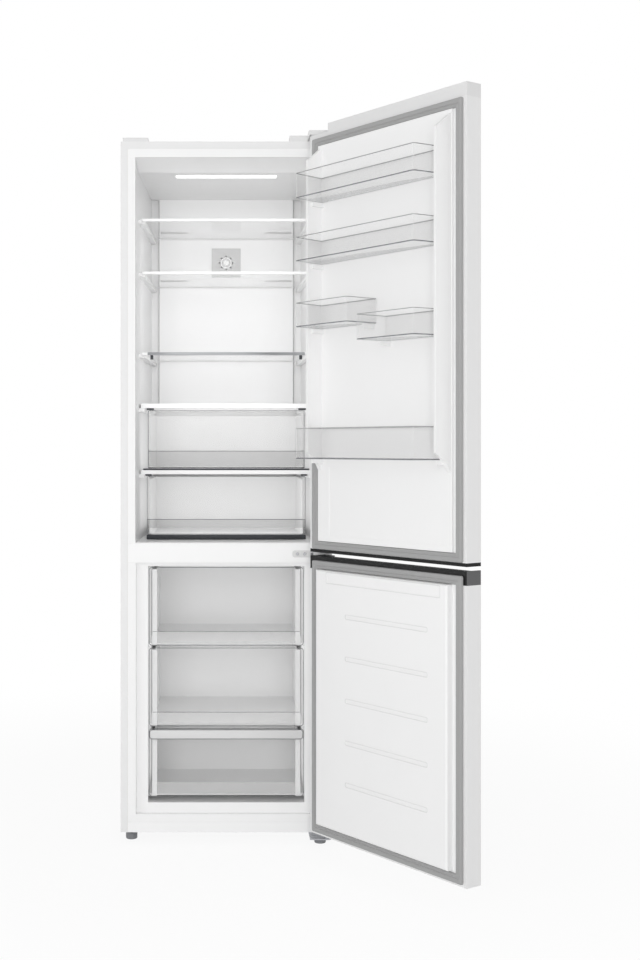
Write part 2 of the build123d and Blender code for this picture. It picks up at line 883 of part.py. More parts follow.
def fan_motor():
    """Motor with its shaft, on a bracket that hangs from the bay's ceiling."""
    start = evaporator_cover_depth + cover_sheet + impeller_deep + 2 * ear_gap
    shape = bar_y(0, fan_height, motor_radius, (start, start + motor_deep))
    shaft = start - impeller_deep - ear_gap
    shape += bar_y(0, fan_height, shaft_radius, (shaft, start + over))
    arm = motor_radius / 2
    end = start + motor_deep
    return shape + block((-arm, arm), (end - cover_sheet, end), (fan_height, bay_ceiling - fit_gap))


def fan_impeller():
    """Hub and flat pitched blades that turn on the motor's shaft."""
    start = evaporator_cover_depth + cover_sheet + ear_gap
    depths = (start, start + impeller_deep)
    shape = bar_y(0, fan_height, impeller_hub, depths)
    length = impeller_radius - impeller_hub
    for index in range(blade_count):
        blade = Pos(impeller_hub + length / 2 - over, 0, 0) * Rot(blade_pitch, 0, 0)
        blade = blade * Box(length + 2 * over, impeller_deep, blade_thick)
        turn = Pos(0, front + sum(depths) / 2, fan_height) * Rot(0, index * 360 / blade_count, 0)
        shape += turn * blade
    slab = block(
        (-impeller_radius, impeller_radius),
        depths,
        (fan_height - impeller_radius, fan_height + impeller_radius),
    )
    shape = shape & slab
    bore = (start - over, depths[1] + over)
    return shape - bar_y(0, fan_height, shaft_radius + shaft_fit, bore)


# Compressor bay


def compressor():
    """Welded steel pot on a foot plate, with four grommets under it and a terminal box."""
    depth = bay_front + bay_depth / 2
    base = tray_top + compressor_lift
    reach = compressor_radius + compressor_plate_reach
    narrow = compressor_radius / 2
    plate = block(
        (compressor_x - reach, compressor_x + reach),
        (depth - narrow, depth + narrow),
        (base, base + compressor_plate),
    )
    low = base + compressor_plate
    pot = post(compressor_x, depth, compressor_radius, (low, low + compressor_body))
    rim = pot.edges().filter_by(GeomType.CIRCLE)
    pot = fillet(rim.group_by(Axis.Z)[-1], compressor_radius / 2)
    pot = fillet(pot.edges().filter_by(GeomType.CIRCLE).group_by(Axis.Z)[0], compressor_radius / 5)
    seam = low + compressor_body / 2
    pot += post(compressor_x, depth, compressor_radius + ear_thick, (seam, seam + ear_thick))
    shape = plate + pot
    for side in (-1, 1):
        for edge in (-1, 1):
            x = compressor_x + side * (reach - compressor_foot / 2)
            d = depth + edge * (narrow - compressor_foot / 2)
            shape += post(x, d, compressor_foot / 2, (tray_top, base + compressor_plate * 2))
    box_x = (compressor_x + compressor_radius / 2, compressor_x + compressor_radius + compressor_foot)
    box_z = (seam - compressor_foot, seam - fit_gap)
    shape += block(box_x, (depth - compressor_foot, depth + compressor_foot), box_z)
    return shape


def drip_tray():
    """Open tray that stands over the compressor on four legs clipped round its foot plate."""
    depth = bay_front + bay_depth / 2
    low = tray_top + compressor_lift + compressor_plate + compressor_body + drip_gap
    x = (compressor_x - drip_half_x, compressor_x + drip_half_x)
    depths = (depth - drip_half_y, depth + drip_half_y)
    shape = block(x, depths, (low, low + drip_height))
    inner_x = (x[0] + drip_wall, x[1] - drip_wall)
    inner = (depths[0] + drip_wall, depths[1] - drip_wall)
    shape -= block(inner_x, inner, (low + drip_wall, low + drip_height))
    for side in (-1, 1):
        for edge in (-1, 1):
            leg_x = sorted(compressor_x + side * (drip_half_x - reach) for reach in (0, drip_leg))
            leg_d = sorted(depth + edge * (drip_half_y - reach) for reach in (0, drip_leg))
            shape += block(leg_x, leg_d, (tray_top + fit_gap, low + over))
    return shape


def condenser():
    """Serpentine tube with wires welded across it, standing on the tray."""
    depth = cabinet_depth - condenser_back_gap
    left, right = condenser_side_gap - half_width, compressor_x - condenser_gap
    rows = [tray_top + condenser_lift + row * condenser_pitch for row in range(condenser_rows)]
    points = []
    for index, z in enumerate(rows):
        ends = (left, right) if index % 2 == 0 else (right, left)
        points += [(ends[0], front + depth, z), (ends[1], front + depth, z)]
    path = FilletPolyline(*points, radius=condenser_pitch * condenser_bend)
    shape = sweep(Plane(path @ 0, z_dir=path % 0) * Circle(condenser_tube / 2), path=path)
    span = right - left - 2 * condenser_pitch
    for index in range(condenser_wires):
        x = left + condenser_pitch + span * index / (condenser_wires - 1)
        low = rows[0] - condenser_tube
        if index in (0, condenser_wires - 1):
            low = tray_top + fit_gap
        for side in (-1, 1):
            d = sorted(depth + side * reach for reach in (condenser_tube / 4, condenser_wire * 2))
            shape += block((x, x + condenser_wire), d, (low, rows[-1] + condenser_tube))
    return shape


def cord_gland():
    """Bush in the bay's wall where the mains lead would pass."""
    x, z = half_width - gland_inset, bay_top - gland_drop
    depth = bay_front + tray_sheet
    shape = bar_y(x, z, gland_radius, (depth, depth + gland_length))
    return shape - bar_y(x, z, gland_radius / 2, (depth - over, depth + gland_length + over))


# Hinges and caps on the cabinet


def top_hinge():
    """Plate on the cabinet's top with the pin that the fridge door hangs on."""
    z = (cabinet_top, cabinet_top + hinge_plate)
    x = (hinge_x - 2 * hinge_plate_half, hinge_x + hinge_nose)
    plate = block(x, (hinge_depth - hinge_nose, top_plate_back), z)
    corner = plate.edges().filter_by(Axis.Z).group_by(Axis.Y)[0]
    plate = fillet(corner, hinge_nose - over)
    pin_z = (cabinet_top - top_pin_engage, cabinet_top + over)
    return plate + post(hinge_x, hinge_depth, pin_radius, pin_z)


def top_hinge_cover():
    """Moulded cover over the top hinge, with a nose that reaches over the pin."""
    low, high = cabinet_top, cabinet_top + top_cover_height
    outline = cover_outline(0)
    shape = plan_prism(outline, (low, high))
    shape = fillet(shape.edges().group_by(Axis.Z)[-1], top_cover_wall)
    shape -= plan_prism(cover_outline(top_cover_wall), (low, high - top_cover_wall))
    nose = (low, low + hinge_plate + fit_gap)
    room = (hinge_x - 2 * hinge_plate_half - fit_gap, half_width)
    return shape - block(room, (hinge_depth - 2 * hinge_nose, 0), nose)


def cover_outline(inset):
    """Plan of the hinge cover: broad on the cabinet, a narrower nose in front."""
    right = half_width - top_cover_wall - inset
    nose_right = hinge_x + hinge_nose + top_cover_wall - inset
    left, nose_left = half_width - top_cover_reach + inset, hinge_x - nose_reach + inset
    back = top_cover_back - inset
    tip = hinge_depth - hinge_nose - top_cover_wall + inset
    return [
        (left, inset),
        (nose_left, inset),
        (nose_left, tip),
        (nose_right, tip),
        (nose_right, inset),
        (right, inset),
        (right, back),
        (left, back),
    ]


def top_left_cap():
    """Blank cover over the unused hinge place."""
    x = (-half_width + cap_left_inset, -half_width + cap_left_inset + cap_left_width)
    shape = block(x, (0, cap_left_deep), (cabinet_top, cabinet_top + cap_left_height))
    shape = fillet(shape.edges().group_by(Axis.Z)[-1], top_cover_wall)
    wall = top_cover_wall
    hollow = (cabinet_top, cabinet_top + cap_left_height - wall)
    return shape - block((x[0] + wall, x[1] - wall), (wall, cap_left_deep - wall), hollow)


def middle_flange():
    """Lowest and highest z of the middle hinge's screwed plate."""
    high = freezer_door_top + middle_arm_lift + hinge_plate + middle_flange_rise
    return high - middle_flange_height, high


def middle_hinge():
    """Plate screwed to the centre rail, with an arm and a pin up and down."""
    low = freezer_door_top + middle_arm_lift
    arm_z = (low, low + hinge_plate)
    right = hinge_x + hinge_nose
    shape = block((middle_flange_left, right), (-hinge_plate, 0), middle_flange())
    shape = fillet(shape.edges().filter_by(Axis.Y).group_by(Axis.X)[0], middle_flange_round)
    arm = block((hinge_x - hinge_plate_half, right), (hinge_depth - hinge_nose, 0), arm_z)
    arm = fillet(arm.edges().filter_by(Axis.Z).group_by(Axis.Y)[0], hinge_nose - over)
    pins = post(hinge_x, hinge_depth, pin_radius, (arm_z[0] - pin_engage, arm_z[1] + pin_engage))
    return shape + arm + pins


def bottom_hinge():
    """Plate under the cabinet with the lower pin, its collar and a stiffening rib."""
    z = (floor_gap - hinge_plate, floor_gap)
    left = bottom_plate_left
    plate = block((left, hinge_x + hinge_nose), (hinge_depth - hinge_nose, bottom_plate_back), z)
    plate = fillet(plate.edges().filter_by(Axis.Z).group_by(Axis.Y)[0], hinge_nose - over)
    collar_z = (z[1] - over, freezer_door_lift - bottom_collar_gap)
    shape = plate + post(hinge_x, hinge_depth, bottom_collar_radius, collar_z)
    shape += post(hinge_x, hinge_depth, pin_radius, (z[1], freezer_door_lift + pin_engage))
    low, high = floor_gap - bottom_rib_drop, z[0] + over
    right = left + bottom_rib_length
    rib = [(left, high), (left + bottom_rib_taper, low), (right - bottom_rib_taper, low), (right, high)]
    shape += face_prism(rib, (over, hinge_plate + over))
    through = (0, floor_gap + over)
    return shape - post(right_foot_x, right_foot_depth, foot_stem + foot_fit, through)


def hinge_screws():
    """Screw heads on the three hinges."""
    heads = []
    for depth in (top_plate_back / 3, top_plate_back * 2 / 3):
        for x in (hinge_x - hinge_plate_half, hinge_x):
            z = cabinet_top + hinge_plate
            heads.append(post(x, depth, screw_head_radius, (z, z + screw_head)))
    span = hinge_x - hinge_plate_half - middle_flange_left - 2 * middle_screw_margin
    z = sum(middle_flange()) / 2
    for index in range(middle_screw_count):
        x = middle_flange_left + middle_screw_margin + span * index / (middle_screw_count - 1)
        heads.append(bar_y(x, z, screw_head_radius, (-hinge_plate - screw_head, -hinge_plate)))
    z = floor_gap - hinge_plate
    for x in (bottom_plate_left + 2 * screw_head_radius + ear_half, right_foot_x):
        depth = bottom_plate_back - 2 * screw_head_radius
        heads.append(post(x, depth, screw_head_radius, (z - screw_head, z)))
    return heads


def foot(x, depth, height, top):
    """Levelling foot: a ribbed disc on a screw."""
    disc = post(x, depth, foot_radius, (0, height))
    disc = fillet(disc.edges().filter_by(GeomType.CIRCLE).group_by(Axis.Z)[0], small_round)
    return disc + post(x, depth, foot_stem, (height - over, top))


def rear_rollers():
    """Two rollers on one axle."""
    depth = cabinet_depth - roller_back
    reach = roller_x + roller_width / 2 + ear_gap + 2 * ear_thick
    shape = bar_x(depth, roller_radius, axle_radius, (-reach, reach))
    for side in (-1, 1):
        x = sorted(side * (roller_x + edge * roller_width / 2) for edge in (-1, 1))
        shape += bar_x(depth, roller_radius, roller_radius, x)
    return shape


# Doors


def door_panel(z):
    """Outer sheet of a door: face, two sides and the narrow returns at the back."""
    shape = door_block((0, cabinet_width), (0, door_thickness), z)
    inner = (skin, cabinet_width - skin)
    shape -= door_block(inner, (skin, door_thickness - skin), z)
    mouth = (door_return, cabinet_width - door_return)
    shape -= door_block(mouth, (0, skin), z)
    edges = shape.edges().filter_by(Axis.Z).group_by(Axis.Y)[0]
    return fillet(edges, 3 * skin)


def dyke(outer, inner, z, grow=0.0):
    """One raised side rib of the fridge door's liner; grow leaves its wall out."""
    way = 1 if inner > outer else -1
    crest = -dyke_rise + grow
    base = grow
    points = [
        (outer + way * grow, base),
        (outer + way * (dyke_slope + grow), crest),
        (inner - way * grow, crest),
        (inner - way * grow, base),
    ]
    rib = door_plan(points, z)
    low, high = z[0] + grow, z[1] - grow
    side = [(base + over, low), (-plateau_rise + grow, low)]
    side += [(-dyke_knee_rise + grow, low + dyke_knee_run), (crest, low + dyke_low_run)]
    side += [(crest, high - dyke_top_run), (-plateau_rise + grow, high), (base + over, high)]
    return rib & door_side(side, (0, cabinet_width))


def dyke_edges():
    """Outer and inner edge, by s, of the hinge side dyke and the free side dyke."""
    wide = dyke_slope + dyke_crest
    free = cabinet_width - dyke_free_inset
    return (dyke_hinge_inset, dyke_hinge_inset + wide), (free, free - wide)


def fridge_plateau(grow=0.0):
    """Raised middle of the fridge door's liner with its two dykes."""
    s = (plateau_inset + grow, cabinet_width - plateau_inset - grow)
    low = fridge_door_lift + gasket_bottom_inset + gasket_width + grow
    high = fridge_door_top - gasket_top_inset - gasket_width - grow
    shape = door_block(s, (-plateau_rise + grow, grow), (low, high))
    for outer, inner in dyke_edges():
        shape += dyke(outer, inner, (dyke_bottom, fridge_door_top - dyke_top_margin), grow)
    return shape


def bin_lugs():
    """Blocks on the dykes and the plateau that the bins stand on."""
    (_, hinge_edge), (_, free_edge) = dyke_edges()
    hinge_end = (hinge_edge - over, hinge_edge + lug_length)
    free_end = (free_edge - lug_length, free_edge + over)
    hinge_split, free_split = bin_splits()
    split_hinge = (hinge_split - 2 * lug_length, hinge_split - lug_length)
    split_free = (free_split + lug_length, free_split + 2 * lug_length)
    places = [(low, hinge_end, free_end) for low, _ in full_bins.values()]
    places.append((half_bin_hinge[0], hinge_end, split_hinge))
    places.append((half_bin_free[0], split_free, free_end))
    n = (-plateau_rise - lug_reach, -plateau_rise + over)
    lugs = []
    for low, *ends in places:
        z = (low - slide_gap - lug_height, low - slide_gap)
        lugs += [door_block(s, n, z) for s in ends]
    return lugs


def liner_sheet(z):
    """Flat sheet behind the returns and the gasket, round a door's plateau."""
    s = (skin + fit_gap, cabinet_width - skin - fit_gap)
    sheet = door_block(s, (skin, skin + liner_wall), z)
    s = (door_return + fit_gap, cabinet_width - door_return - fit_gap)
    return sheet + door_block(s, (0, skin + liner_wall), z)


def fridge_door_liner():
    z = (fridge_door_lift + bottom_trim_height, fridge_door_top - top_cap_height)
    shape = liner_sheet(z) + fridge_plateau()
    hollow = fridge_plateau(liner_wall)
    shape -= hollow + door_block(
        (plateau_inset + liner_wall, cabinet_width - plateau_inset - liner_wall),
        (-plateau_rise + liner_wall, skin + liner_wall),
        (
            fridge_door_lift + gasket_bottom_inset + gasket_width + liner_wall,
            fridge_door_top - gasket_top_inset - gasket_width - liner_wall,
        ),
    )
    for lug in bin_lugs():
        shape += lug
    recess_n = (-plateau_rise, -plateau_rise + press_depth)
    recess_z = (fridge_door_lift + lower_recess_lift, full_bins[5][0] - lower_recess_below_bin)
    recess_s = (lower_recess_hinge_inset, cabinet_width - lower_recess_free_inset)
    return shape - door_block(recess_s, recess_n, recess_z)


def fridge_door_foam():
    z = (fridge_door_lift + bottom_trim_height + fit_gap, fridge_door_top - top_cap_height - fit_gap)
    n = (skin + liner_wall + fit_gap, door_thickness - skin - fit_gap)
    s = (skin + fit_gap, cabinet_width - skin - fit_gap)
    shape = door_block(s, n, z)
    pocket_n = (grip_inner - cap_wall - fit_gap, grip_inner + grip_width + cap_wall + fit_gap)
    pocket_z = (z[0], fridge_door_lift + grip_rise + cap_wall + 2 * fit_gap)
    pocket_s = (grip_end - cap_wall - fit_gap, cabinet_width - grip_end + cap_wall + fit_gap)
    shape -= door_block(pocket_s, pocket_n, pocket_z)
    room = (z[0] - pin_engage, z[0] + pin_engage)
    return shape - hinge_bore(*room, pin_radius + bush_wall + fit_gap)


def hinge_bore(low, high, radius):
    """Round room on the hinge line of a closed door."""
    return post(hinge_x, hinge_depth, radius, (low, high))


def fridge_door_top_cap():
    """Moulded cap on the door's top, notched for the hinge, with the pin's bush."""
    z = (fridge_door_top - top_cap_height, fridge_door_top)
    shape = door_block((0, cabinet_width), (0, door_thickness), z)
    edges = shape.edges().filter_by(Axis.Z).group_by(Axis.Y)[0]
    shape = fillet(edges, 3 * skin)
    notch_z = (fridge_door_top - top_notch_depth, fridge_door_top + over)
    shape -= door_block((-over, top_notch_width), (-over, door_thickness + over), notch_z)
    s = (top_notch_width + cap_wall, cabinet_width - cap_wall)
    hollow = (z[0], z[1] - cap_wall)
    shape -= door_block(s, (cap_wall, door_thickness - cap_wall), hollow)
    bore_floor = cabinet_top - top_pin_engage - bottom_collar_gap
    return shape - hinge_bore(bore_floor, z[1], pin_radius + pin_fit)


def fridge_door_bottom_trim():
    """Black strip under the fridge door, with the finger pocket and the pin's bush."""
    low = fridge_door_lift
    z = (low, low + bottom_trim_height)
    shape = door_block((0, cabinet_width), (0, door_thickness), z)
    shape = fillet(shape.edges().filter_by(Axis.Z).group_by(Axis.Y)[0], 3 * skin)
    pocket_s = (grip_end, cabinet_width - grip_end)
    pocket_n = (grip_inner, grip_inner + grip_width)
    wall = cap_wall
    outer = door_block(
        (pocket_s[0] - wall, pocket_s[1] + wall),
        (pocket_n[0] - wall, pocket_n[1] + wall),
        (low, low + grip_rise + wall),
    )
    shape += outer
    shape += hinge_bore(low, low + grip_rise, pin_radius + bush_wall)
    shape -= door_block(pocket_s, pocket_n, (low - over, low + grip_rise))
    return shape - hinge_bore(low - over, low + grip_rise - over, pin_radius + pin_fit)


def freezer_door_handle():
    """Dark profile on the freezer door's top: a finger channel behind a lowered front lip."""
    top = freezer_door_top
    z = (top - handle_height, top)
    shape = door_block((0, cabinet_width), (0, door_thickness), z)
    shape = fillet(shape.edges().filter_by(Axis.Z).group_by(Axis.Y)[0], 3 * skin)
    s = (grip_end, cabinet_width - 2 * cap_wall)
    channel = (grip_inner, grip_inner + grip_width)
    shape -= door_block(s, channel, (z[0] + grip_floor, top + over))
    lip = (channel[1] - over, door_thickness + over)
    shape -= door_block(s, lip, (top - grip_lip_drop, top + over))
    return shape - hinge_bore(top - pin_engage - middle_arm_lift, top + over, pin_radius + pin_fit)


def freezer_plateau(grow=0.0):
    s = (freezer_plateau_hinge_inset + grow, cabinet_width - freezer_plateau_free_inset - grow)
    low = freezer_door_lift + freezer_gasket_bottom_inset + gasket_width
    low += freezer_plateau_low_gap + grow
    high = freezer_door_top - freezer_gasket_top_inset - gasket_width - grow
    return door_block(s, (-freezer_plateau_rise + grow, skin + liner_wall), (low, high))


def freezer_door_liner():
    """Flat raised liner with a shallow window at the top and a row of pressed ribs."""
    z = (freezer_door_lift + skin + fit_gap, freezer_door_top - handle_height)
    plateau = freezer_plateau()
    edges = plateau.edges().group_by(Axis.Y)[-1]
    plateau = fillet(edges, freezer_plateau_round)
    shape = liner_sheet(z) + plateau - freezer_plateau(liner_wall)
    skin_n = (-freezer_plateau_rise, -freezer_plateau_rise + press_depth)
    for index in range(panel_rib_count):
        top = freezer_door_top - panel_rib_drop - index * panel_rib_pitch
        s = (panel_rib_hinge_inset, cabinet_width - panel_rib_free_inset)
        shape -= door_block(s, skin_n, (top - panel_rib_height, top))
    window = (panel_window_hinge_inset, cabinet_width - panel_window_free_inset)
    top = freezer_door_top - panel_window_drop
    return shape - door_block(window, skin_n, (top - panel_window_height, top))


def freezer_door_foam():
    z = (freezer_door_lift + skin + fit_gap, freezer_door_top - handle_height - fit_gap)
    n = (skin + liner_wall + fit_gap, door_thickness - skin - fit_gap)
    s = (skin + fit_gap, cabinet_width - skin - fit_gap)
    shape = door_block(s, n, z)
    room = (z[0] - over, z[0] + pin_engage + 2 * cap_wall)
    return shape - hinge_bore(*room, pin_radius + bush_wall + fit_gap)


def freezer_door_panel():
    """Outer sheet of the freezer door with its folded bottom and the lower pin's bush."""
    low = freezer_door_lift
    z = (low, freezer_door_top - handle_height)
    shape = door_panel(z)
    s = (skin / 2, cabinet_width - skin / 2)
    floor = door_block(s, (skin / 2, door_thickness - skin / 2), (low, low + skin))
    shape += floor
    shape += hinge_bore(low, low + pin_engage + cap_wall, pin_radius + bush_wall)
    return shape - hinge_bore(low - over, low + pin_engage + over, pin_radius + pin_fit)


def gasket(low, high):
    """Ring of soft seal on a door's liner, a little squeezed."""
    s = (gasket_hinge_inset, cabinet_width - gasket_free_inset)
    n = (-door_gap + gasket_squeeze, 0)
    shape = door_block(s, n, (low, high))
    wide = gasket_width
    inner_s = (s[0] + wide, s[1] - wide)
    inner = door_block(inner_s, (n[0] - over, over), (low + wide, high - wide))
    return shape - inner


# Door bins


def bin_splits():
    """Inner ends, by s, of the half bin on the hinge side and of the one on the free side."""
    middle = cabinet_width / 2
    return middle - half_bin_hinge_gap, middle + half_bin_free_gap


def bin_outline(hinge_side, free_side, inset=0.0):
    """Plan (s, n) of a bin, with its ends drawn in towards the front."""
    back = -plateau_rise - bin_side_gap - inset
    reach = -bin_reach + inset
    return [
        (hinge_side[0] + inset, back),
        (hinge_side[1] + inset, reach),
        (free_side[1] - inset, reach),
        (free_side[0] - inset, back),
    ]


def bin_tub(low, height, hinge_side, free_side):
    """Open clear tub."""
    shape = door_plan(bin_outline(hinge_side, free_side), (low, low + height))
    corners = shape.edges().filter_by(Axis.Z).group_by(Axis.Y)[-1]
    shape = fillet(corners, bin_radius)
    inner_plan = bin_outline(hinge_side, free_side, bin_wall)
    inside = door_plan(inner_plan, (low + bin_wall, low + height + over))
    corners = inside.edges().filter_by(Axis.Z).group_by(Axis.Y)[-1]
    return shape - fillet(corners, bin_radius - bin_wall)


def door_bins():
    """All five bins by number, from the top; three and four are half as wide."""
    (_, hinge_edge), (_, free_edge) = dyke_edges()
    hinge_side = (hinge_edge + bin_side_gap, bin_front_hinge_inset)
    free_side = (free_edge - bin_side_gap, cabinet_width - bin_front_free_inset)
    bins = {
        number: bin_tub(low, height, hinge_side, free_side)
        for number, (low, height) in full_bins.items()
    }
    hinge_split, free_split = bin_splits()
    bins[3] = bin_tub(*half_bin_hinge, hinge_side, (hinge_split, hinge_split))
    bins[4] = bin_tub(*half_bin_free, (free_split, free_split), free_side)
    return bins


# Every sub-part

write("outer_wrap", outer_wrap())
write("back_panel", back_panel())
write("base_tray", base_tray())
write("fridge_liner", fridge_liner())
write("freezer_liner", freezer_liner())
write("front_rails", *front_rails())
write("cabinet_foam", cabinet_foam())

write("duct_panel", duct_panel())
write("vent_cover", vent_cover())
write("ceiling_panel", ceiling_panel())
write("light_lens", light_lens())
for number, top in shelf_tops.items():
    write(f"shelf_glass_{number}", shelf_glass(top))
    write(f"shelf_trim_{number}", *shelf_trim(top))
write("crisper_cover_glasses", *[cover_glass(top) for top in (cover_top, divider_top)])
write("crisper_cover_frames", *[cover_frame(top, height) for top, height in covers])
for name in crisper_spans():
    write(f"crisper_{name}", crisper(name))

for name in drawer_fronts():
    write(f"freezer_drawer_{name}_body", drawer_body(name))
    write(f"freezer_drawer_{name}_front", drawer_front_panel(name))
write("evaporator_cover", evaporator_cover())
write("evaporator", evaporator())
write("fan_motor", fan_motor())
write("fan_impeller", fan_impeller())

write("compressor", compressor())
write("drip_tray", drip_tray())
write("condenser", condenser())
write("cord_gland", cord_gland())

write("top_hinge", top_hinge())
write("top_hinge_cover", top_hinge_cover())
write("top_left_cap", top_left_cap())
write("middle_hinge", middle_hinge())
write("bottom_hinge", bottom_hinge())
write("hinge_screws", *hinge_screws())
write("front_foot_left", foot(left_foot_x, left_foot_depth, foot_height, tray_top))
write("front_foot_right", foot(right_foot_x, right_foot_depth, right_foot_height, floor_gap - fit_gap))
write("rear_rollers", rear_rollers())

fridge_z = (fridge_door_lift + bottom_trim_height, fridge_door_top - top_cap_height)
write("fridge_door_panel", swing(door_panel(fridge_z)))
write("fridge_door_liner", swing(fridge_door_liner()))
write("fridge_door_foam", swing(fridge_door_foam()))
write("fridge_door_top_cap", swing(fridge_door_top_cap()))
write("fridge_door_bottom_trim", swing(fridge_door_bottom_trim()))
fridge_seal = (fridge_door_lift + gasket_bottom_inset, fridge_door_top - gasket_top_inset)
write("fridge_door_gasket", swing(gasket(*fridge_seal)))
for number, tub in door_bins().items():
    write(f"door_bin_{number}", swing(tub))

write("freezer_door_panel", swing(freezer_door_panel()))
write("freezer_door_liner", swing(freezer_door_liner()))
write("freezer_door_foam", swing(freezer_door_foam()))
write("freezer_door_handle", swing(freezer_door_handle()))
freezer_seal = (
    freezer_door_lift + freezer_gasket_bottom_inset,
    freezer_door_top - freezer_gasket_top_inset,
)
write("freezer_door_gasket", swing(gasket(*freezer_seal)))
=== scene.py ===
from math import atan2, cos, pi, radians, sin, tan
import bmesh
import bpy
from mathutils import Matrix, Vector


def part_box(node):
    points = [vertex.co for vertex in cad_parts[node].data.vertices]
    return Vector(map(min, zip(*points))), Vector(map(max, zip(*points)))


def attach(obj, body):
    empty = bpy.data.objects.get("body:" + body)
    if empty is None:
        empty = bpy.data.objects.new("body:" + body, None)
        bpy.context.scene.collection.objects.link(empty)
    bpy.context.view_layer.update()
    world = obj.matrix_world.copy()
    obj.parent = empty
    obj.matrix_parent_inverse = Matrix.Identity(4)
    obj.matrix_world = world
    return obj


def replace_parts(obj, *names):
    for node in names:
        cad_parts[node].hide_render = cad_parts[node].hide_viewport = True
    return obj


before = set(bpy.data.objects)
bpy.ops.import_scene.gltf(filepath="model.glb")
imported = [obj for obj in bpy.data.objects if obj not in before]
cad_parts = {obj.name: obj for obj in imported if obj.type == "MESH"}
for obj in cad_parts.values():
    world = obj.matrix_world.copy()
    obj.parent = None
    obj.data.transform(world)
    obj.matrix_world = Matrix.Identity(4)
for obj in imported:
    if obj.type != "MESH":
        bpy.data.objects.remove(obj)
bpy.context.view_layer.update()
print("frame loaded")

# sizes are in millimetres in the part's own axes: x right, y back, z up from the floor,
# and a depth is how far behind the cabinet's front plane a thing lies
cabinet = {"width": 595.0, "front": -297.5}
doors = {"gap": 8.0, "hingeX": 279.2, "hingeDepth": -51.8, "openTurn": 125.6}


def metres(*numbers):
    return Vector([number / 1000 for number in numbers])


def inside(x, depth, z):
    return metres(x, cabinet["front"] + depth, z)


# point on an open door: s from its hinge edge, n outwards from its inner plane
def onDoor(s, n, z):
    x = cabinet["width"] / 2 - s - doors["hingeX"]
    y = -doors["gap"] - n - doors["hingeDepth"]
    turn = radians(doors["openTurn"])
    pivot = cabinet["front"] + doors["hingeDepth"]
    return metres(
        doors["hingeX"] + x * cos(turn) - y * sin(turn), pivot + x * sin(turn) + y * cos(turn), z
    )


def hexColour(code):  # sRGB hex to linear
    parts = [int(code[i:i + 2], 16) / 255 for i in (1, 3, 5)]
    return [p / 12.92 if p <= 0.04045 else ((p + 0.055) / 1.055) ** 2.4 for p in parts] + [1.0]


def addNode(tree, kind, values=None, links=None, **settings):
    node = tree.nodes.new(kind)
    for name, value in settings.items():
        setattr(node, name, value)
    for key, value in (values or {}).items():
        node.inputs[key].default_value = value
    for key, socket in (links or {}).items():
        tree.links.new(socket, node.inputs[key])
    return node


def finish(name, shader, *facts):  # material whose surface is built by the given function
    material = bpy.data.materials.new(name)
    material.use_nodes = True
    tree = material.node_tree
    tree.nodes.clear()
    surface = shader(tree, *facts).outputs[0]
    addNode(tree, "ShaderNodeOutputMaterial", None, {"Surface": surface})
    return material


def addPiece(name, mesh, body, materials):
    piece = bpy.data.objects.new(name, mesh)
    bpy.context.collection.objects.link(piece)
    if materials:
        mesh.materials.clear()
        for material in materials:
            mesh.materials.append(material)
    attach(piece, body)
    return piece


def sharpen(mesh, angle):
    for polygon in mesh.polygons:
        polygon.use_smooth = True
    mesh.set_sharp_from_angle(angle=radians(angle))
    return mesh


def meshFrom(name, points, faces, angle=40):
    mesh = bpy.data.meshes.new(name)
    mesh.from_pydata([tuple(p) for p in points], [], faces)
    form = bmesh.new()
    form.from_mesh(mesh)
    bmesh.ops.remove_doubles(form, verts=form.verts, dist=1e-6)
    bmesh.ops.recalc_face_normals(form, faces=form.faces)
    form.to_mesh(mesh)
    form.free()
    return sharpen(mesh, angle)


def loopFaces(rings, size, closed=True):  # quads between neighbouring rings of points
    faces = []
    for ring in range(rings if closed else rings - 1):
        here, there = ring * size, (ring + 1) % rings * size
        for k in range(size):
            faces.append((here + k, here + (k + 1) % size, there + (k + 1) % size, there + k))
    return faces


def lofted(name, loops, angle=40):  # loops of points in metres, closed at both ends
    size, last = len(loops[0]), (len(loops) - 1) * len(loops[0])
    faces = loopFaces(len(loops), size, False)
    faces += [tuple(range(size)), tuple(range(last, last + size))]
    return meshFrom(name, [p for loop in loops for p in loop], faces, angle)


def roundedLoop(corners, radii, steps=4):  # closed outline in a plane with its corners rounded
    loop = []
    for index, corner in enumerate(corners):
        here, before = Vector(corner), Vector(corners[index - 1])
        after = Vector(corners[(index + 1) % len(corners)])
        back, ahead = (before - here).normalized(), (after - here).normalized()
        half, reach = back.angle(ahead) / 2, radii[index]
        centre = here + (back + ahead).normalized() * reach / sin(half)
        start = here + back * reach / tan(half) - centre
        end = here + ahead * reach / tan(half) - centre
        sweep = atan2(start.x * end.y - start.y * end.x, start.dot(end))
        for step in range(steps + 1):
            angle = atan2(start.y, start.x) + sweep * step / steps
            loop.append((centre.x + reach * cos(angle), centre.y + reach * sin(angle)))
    return loop


def turned(profile, steps, centre, axis):  # closed (radius, height) profile turned round an axis
    side = axis.orthogonal().normalized()
    up = axis.cross(side)
    points = []
    for step in range(steps):
        angle = 2 * pi * step / steps
        out = side * cos(angle) + up * sin(angle)
        points += [centre + (out * r + axis * h) / 1000 for r, h in profile]
    return points, loopFaces(steps, len(profile))


# upright slab seen from the front, with rounded corners and softened edges
def slabMesh(name, x, depth, z, corner, edge=0.6):
    low, high = [v + edge for v in (x[0], z[0])], [v - edge for v in (x[1], z[1])]
    loops = []
    near, far = depth
    for d, grow in ((near, 0), (near + edge, edge), (far - edge, edge), (far, 0)):
        left, right, foot, top = low[0] - grow, high[0] + grow, low[1] - grow, high[1] + grow
        outline = [(left, foot), (right, foot), (right, top), (left, top)]
        radius = max(corner - edge + grow, 0.3)
        loops.append([inside(a, d, b) for a, b in roundedLoop(outline, [radius] * 4)])
    return lofted(name, loops, 50)


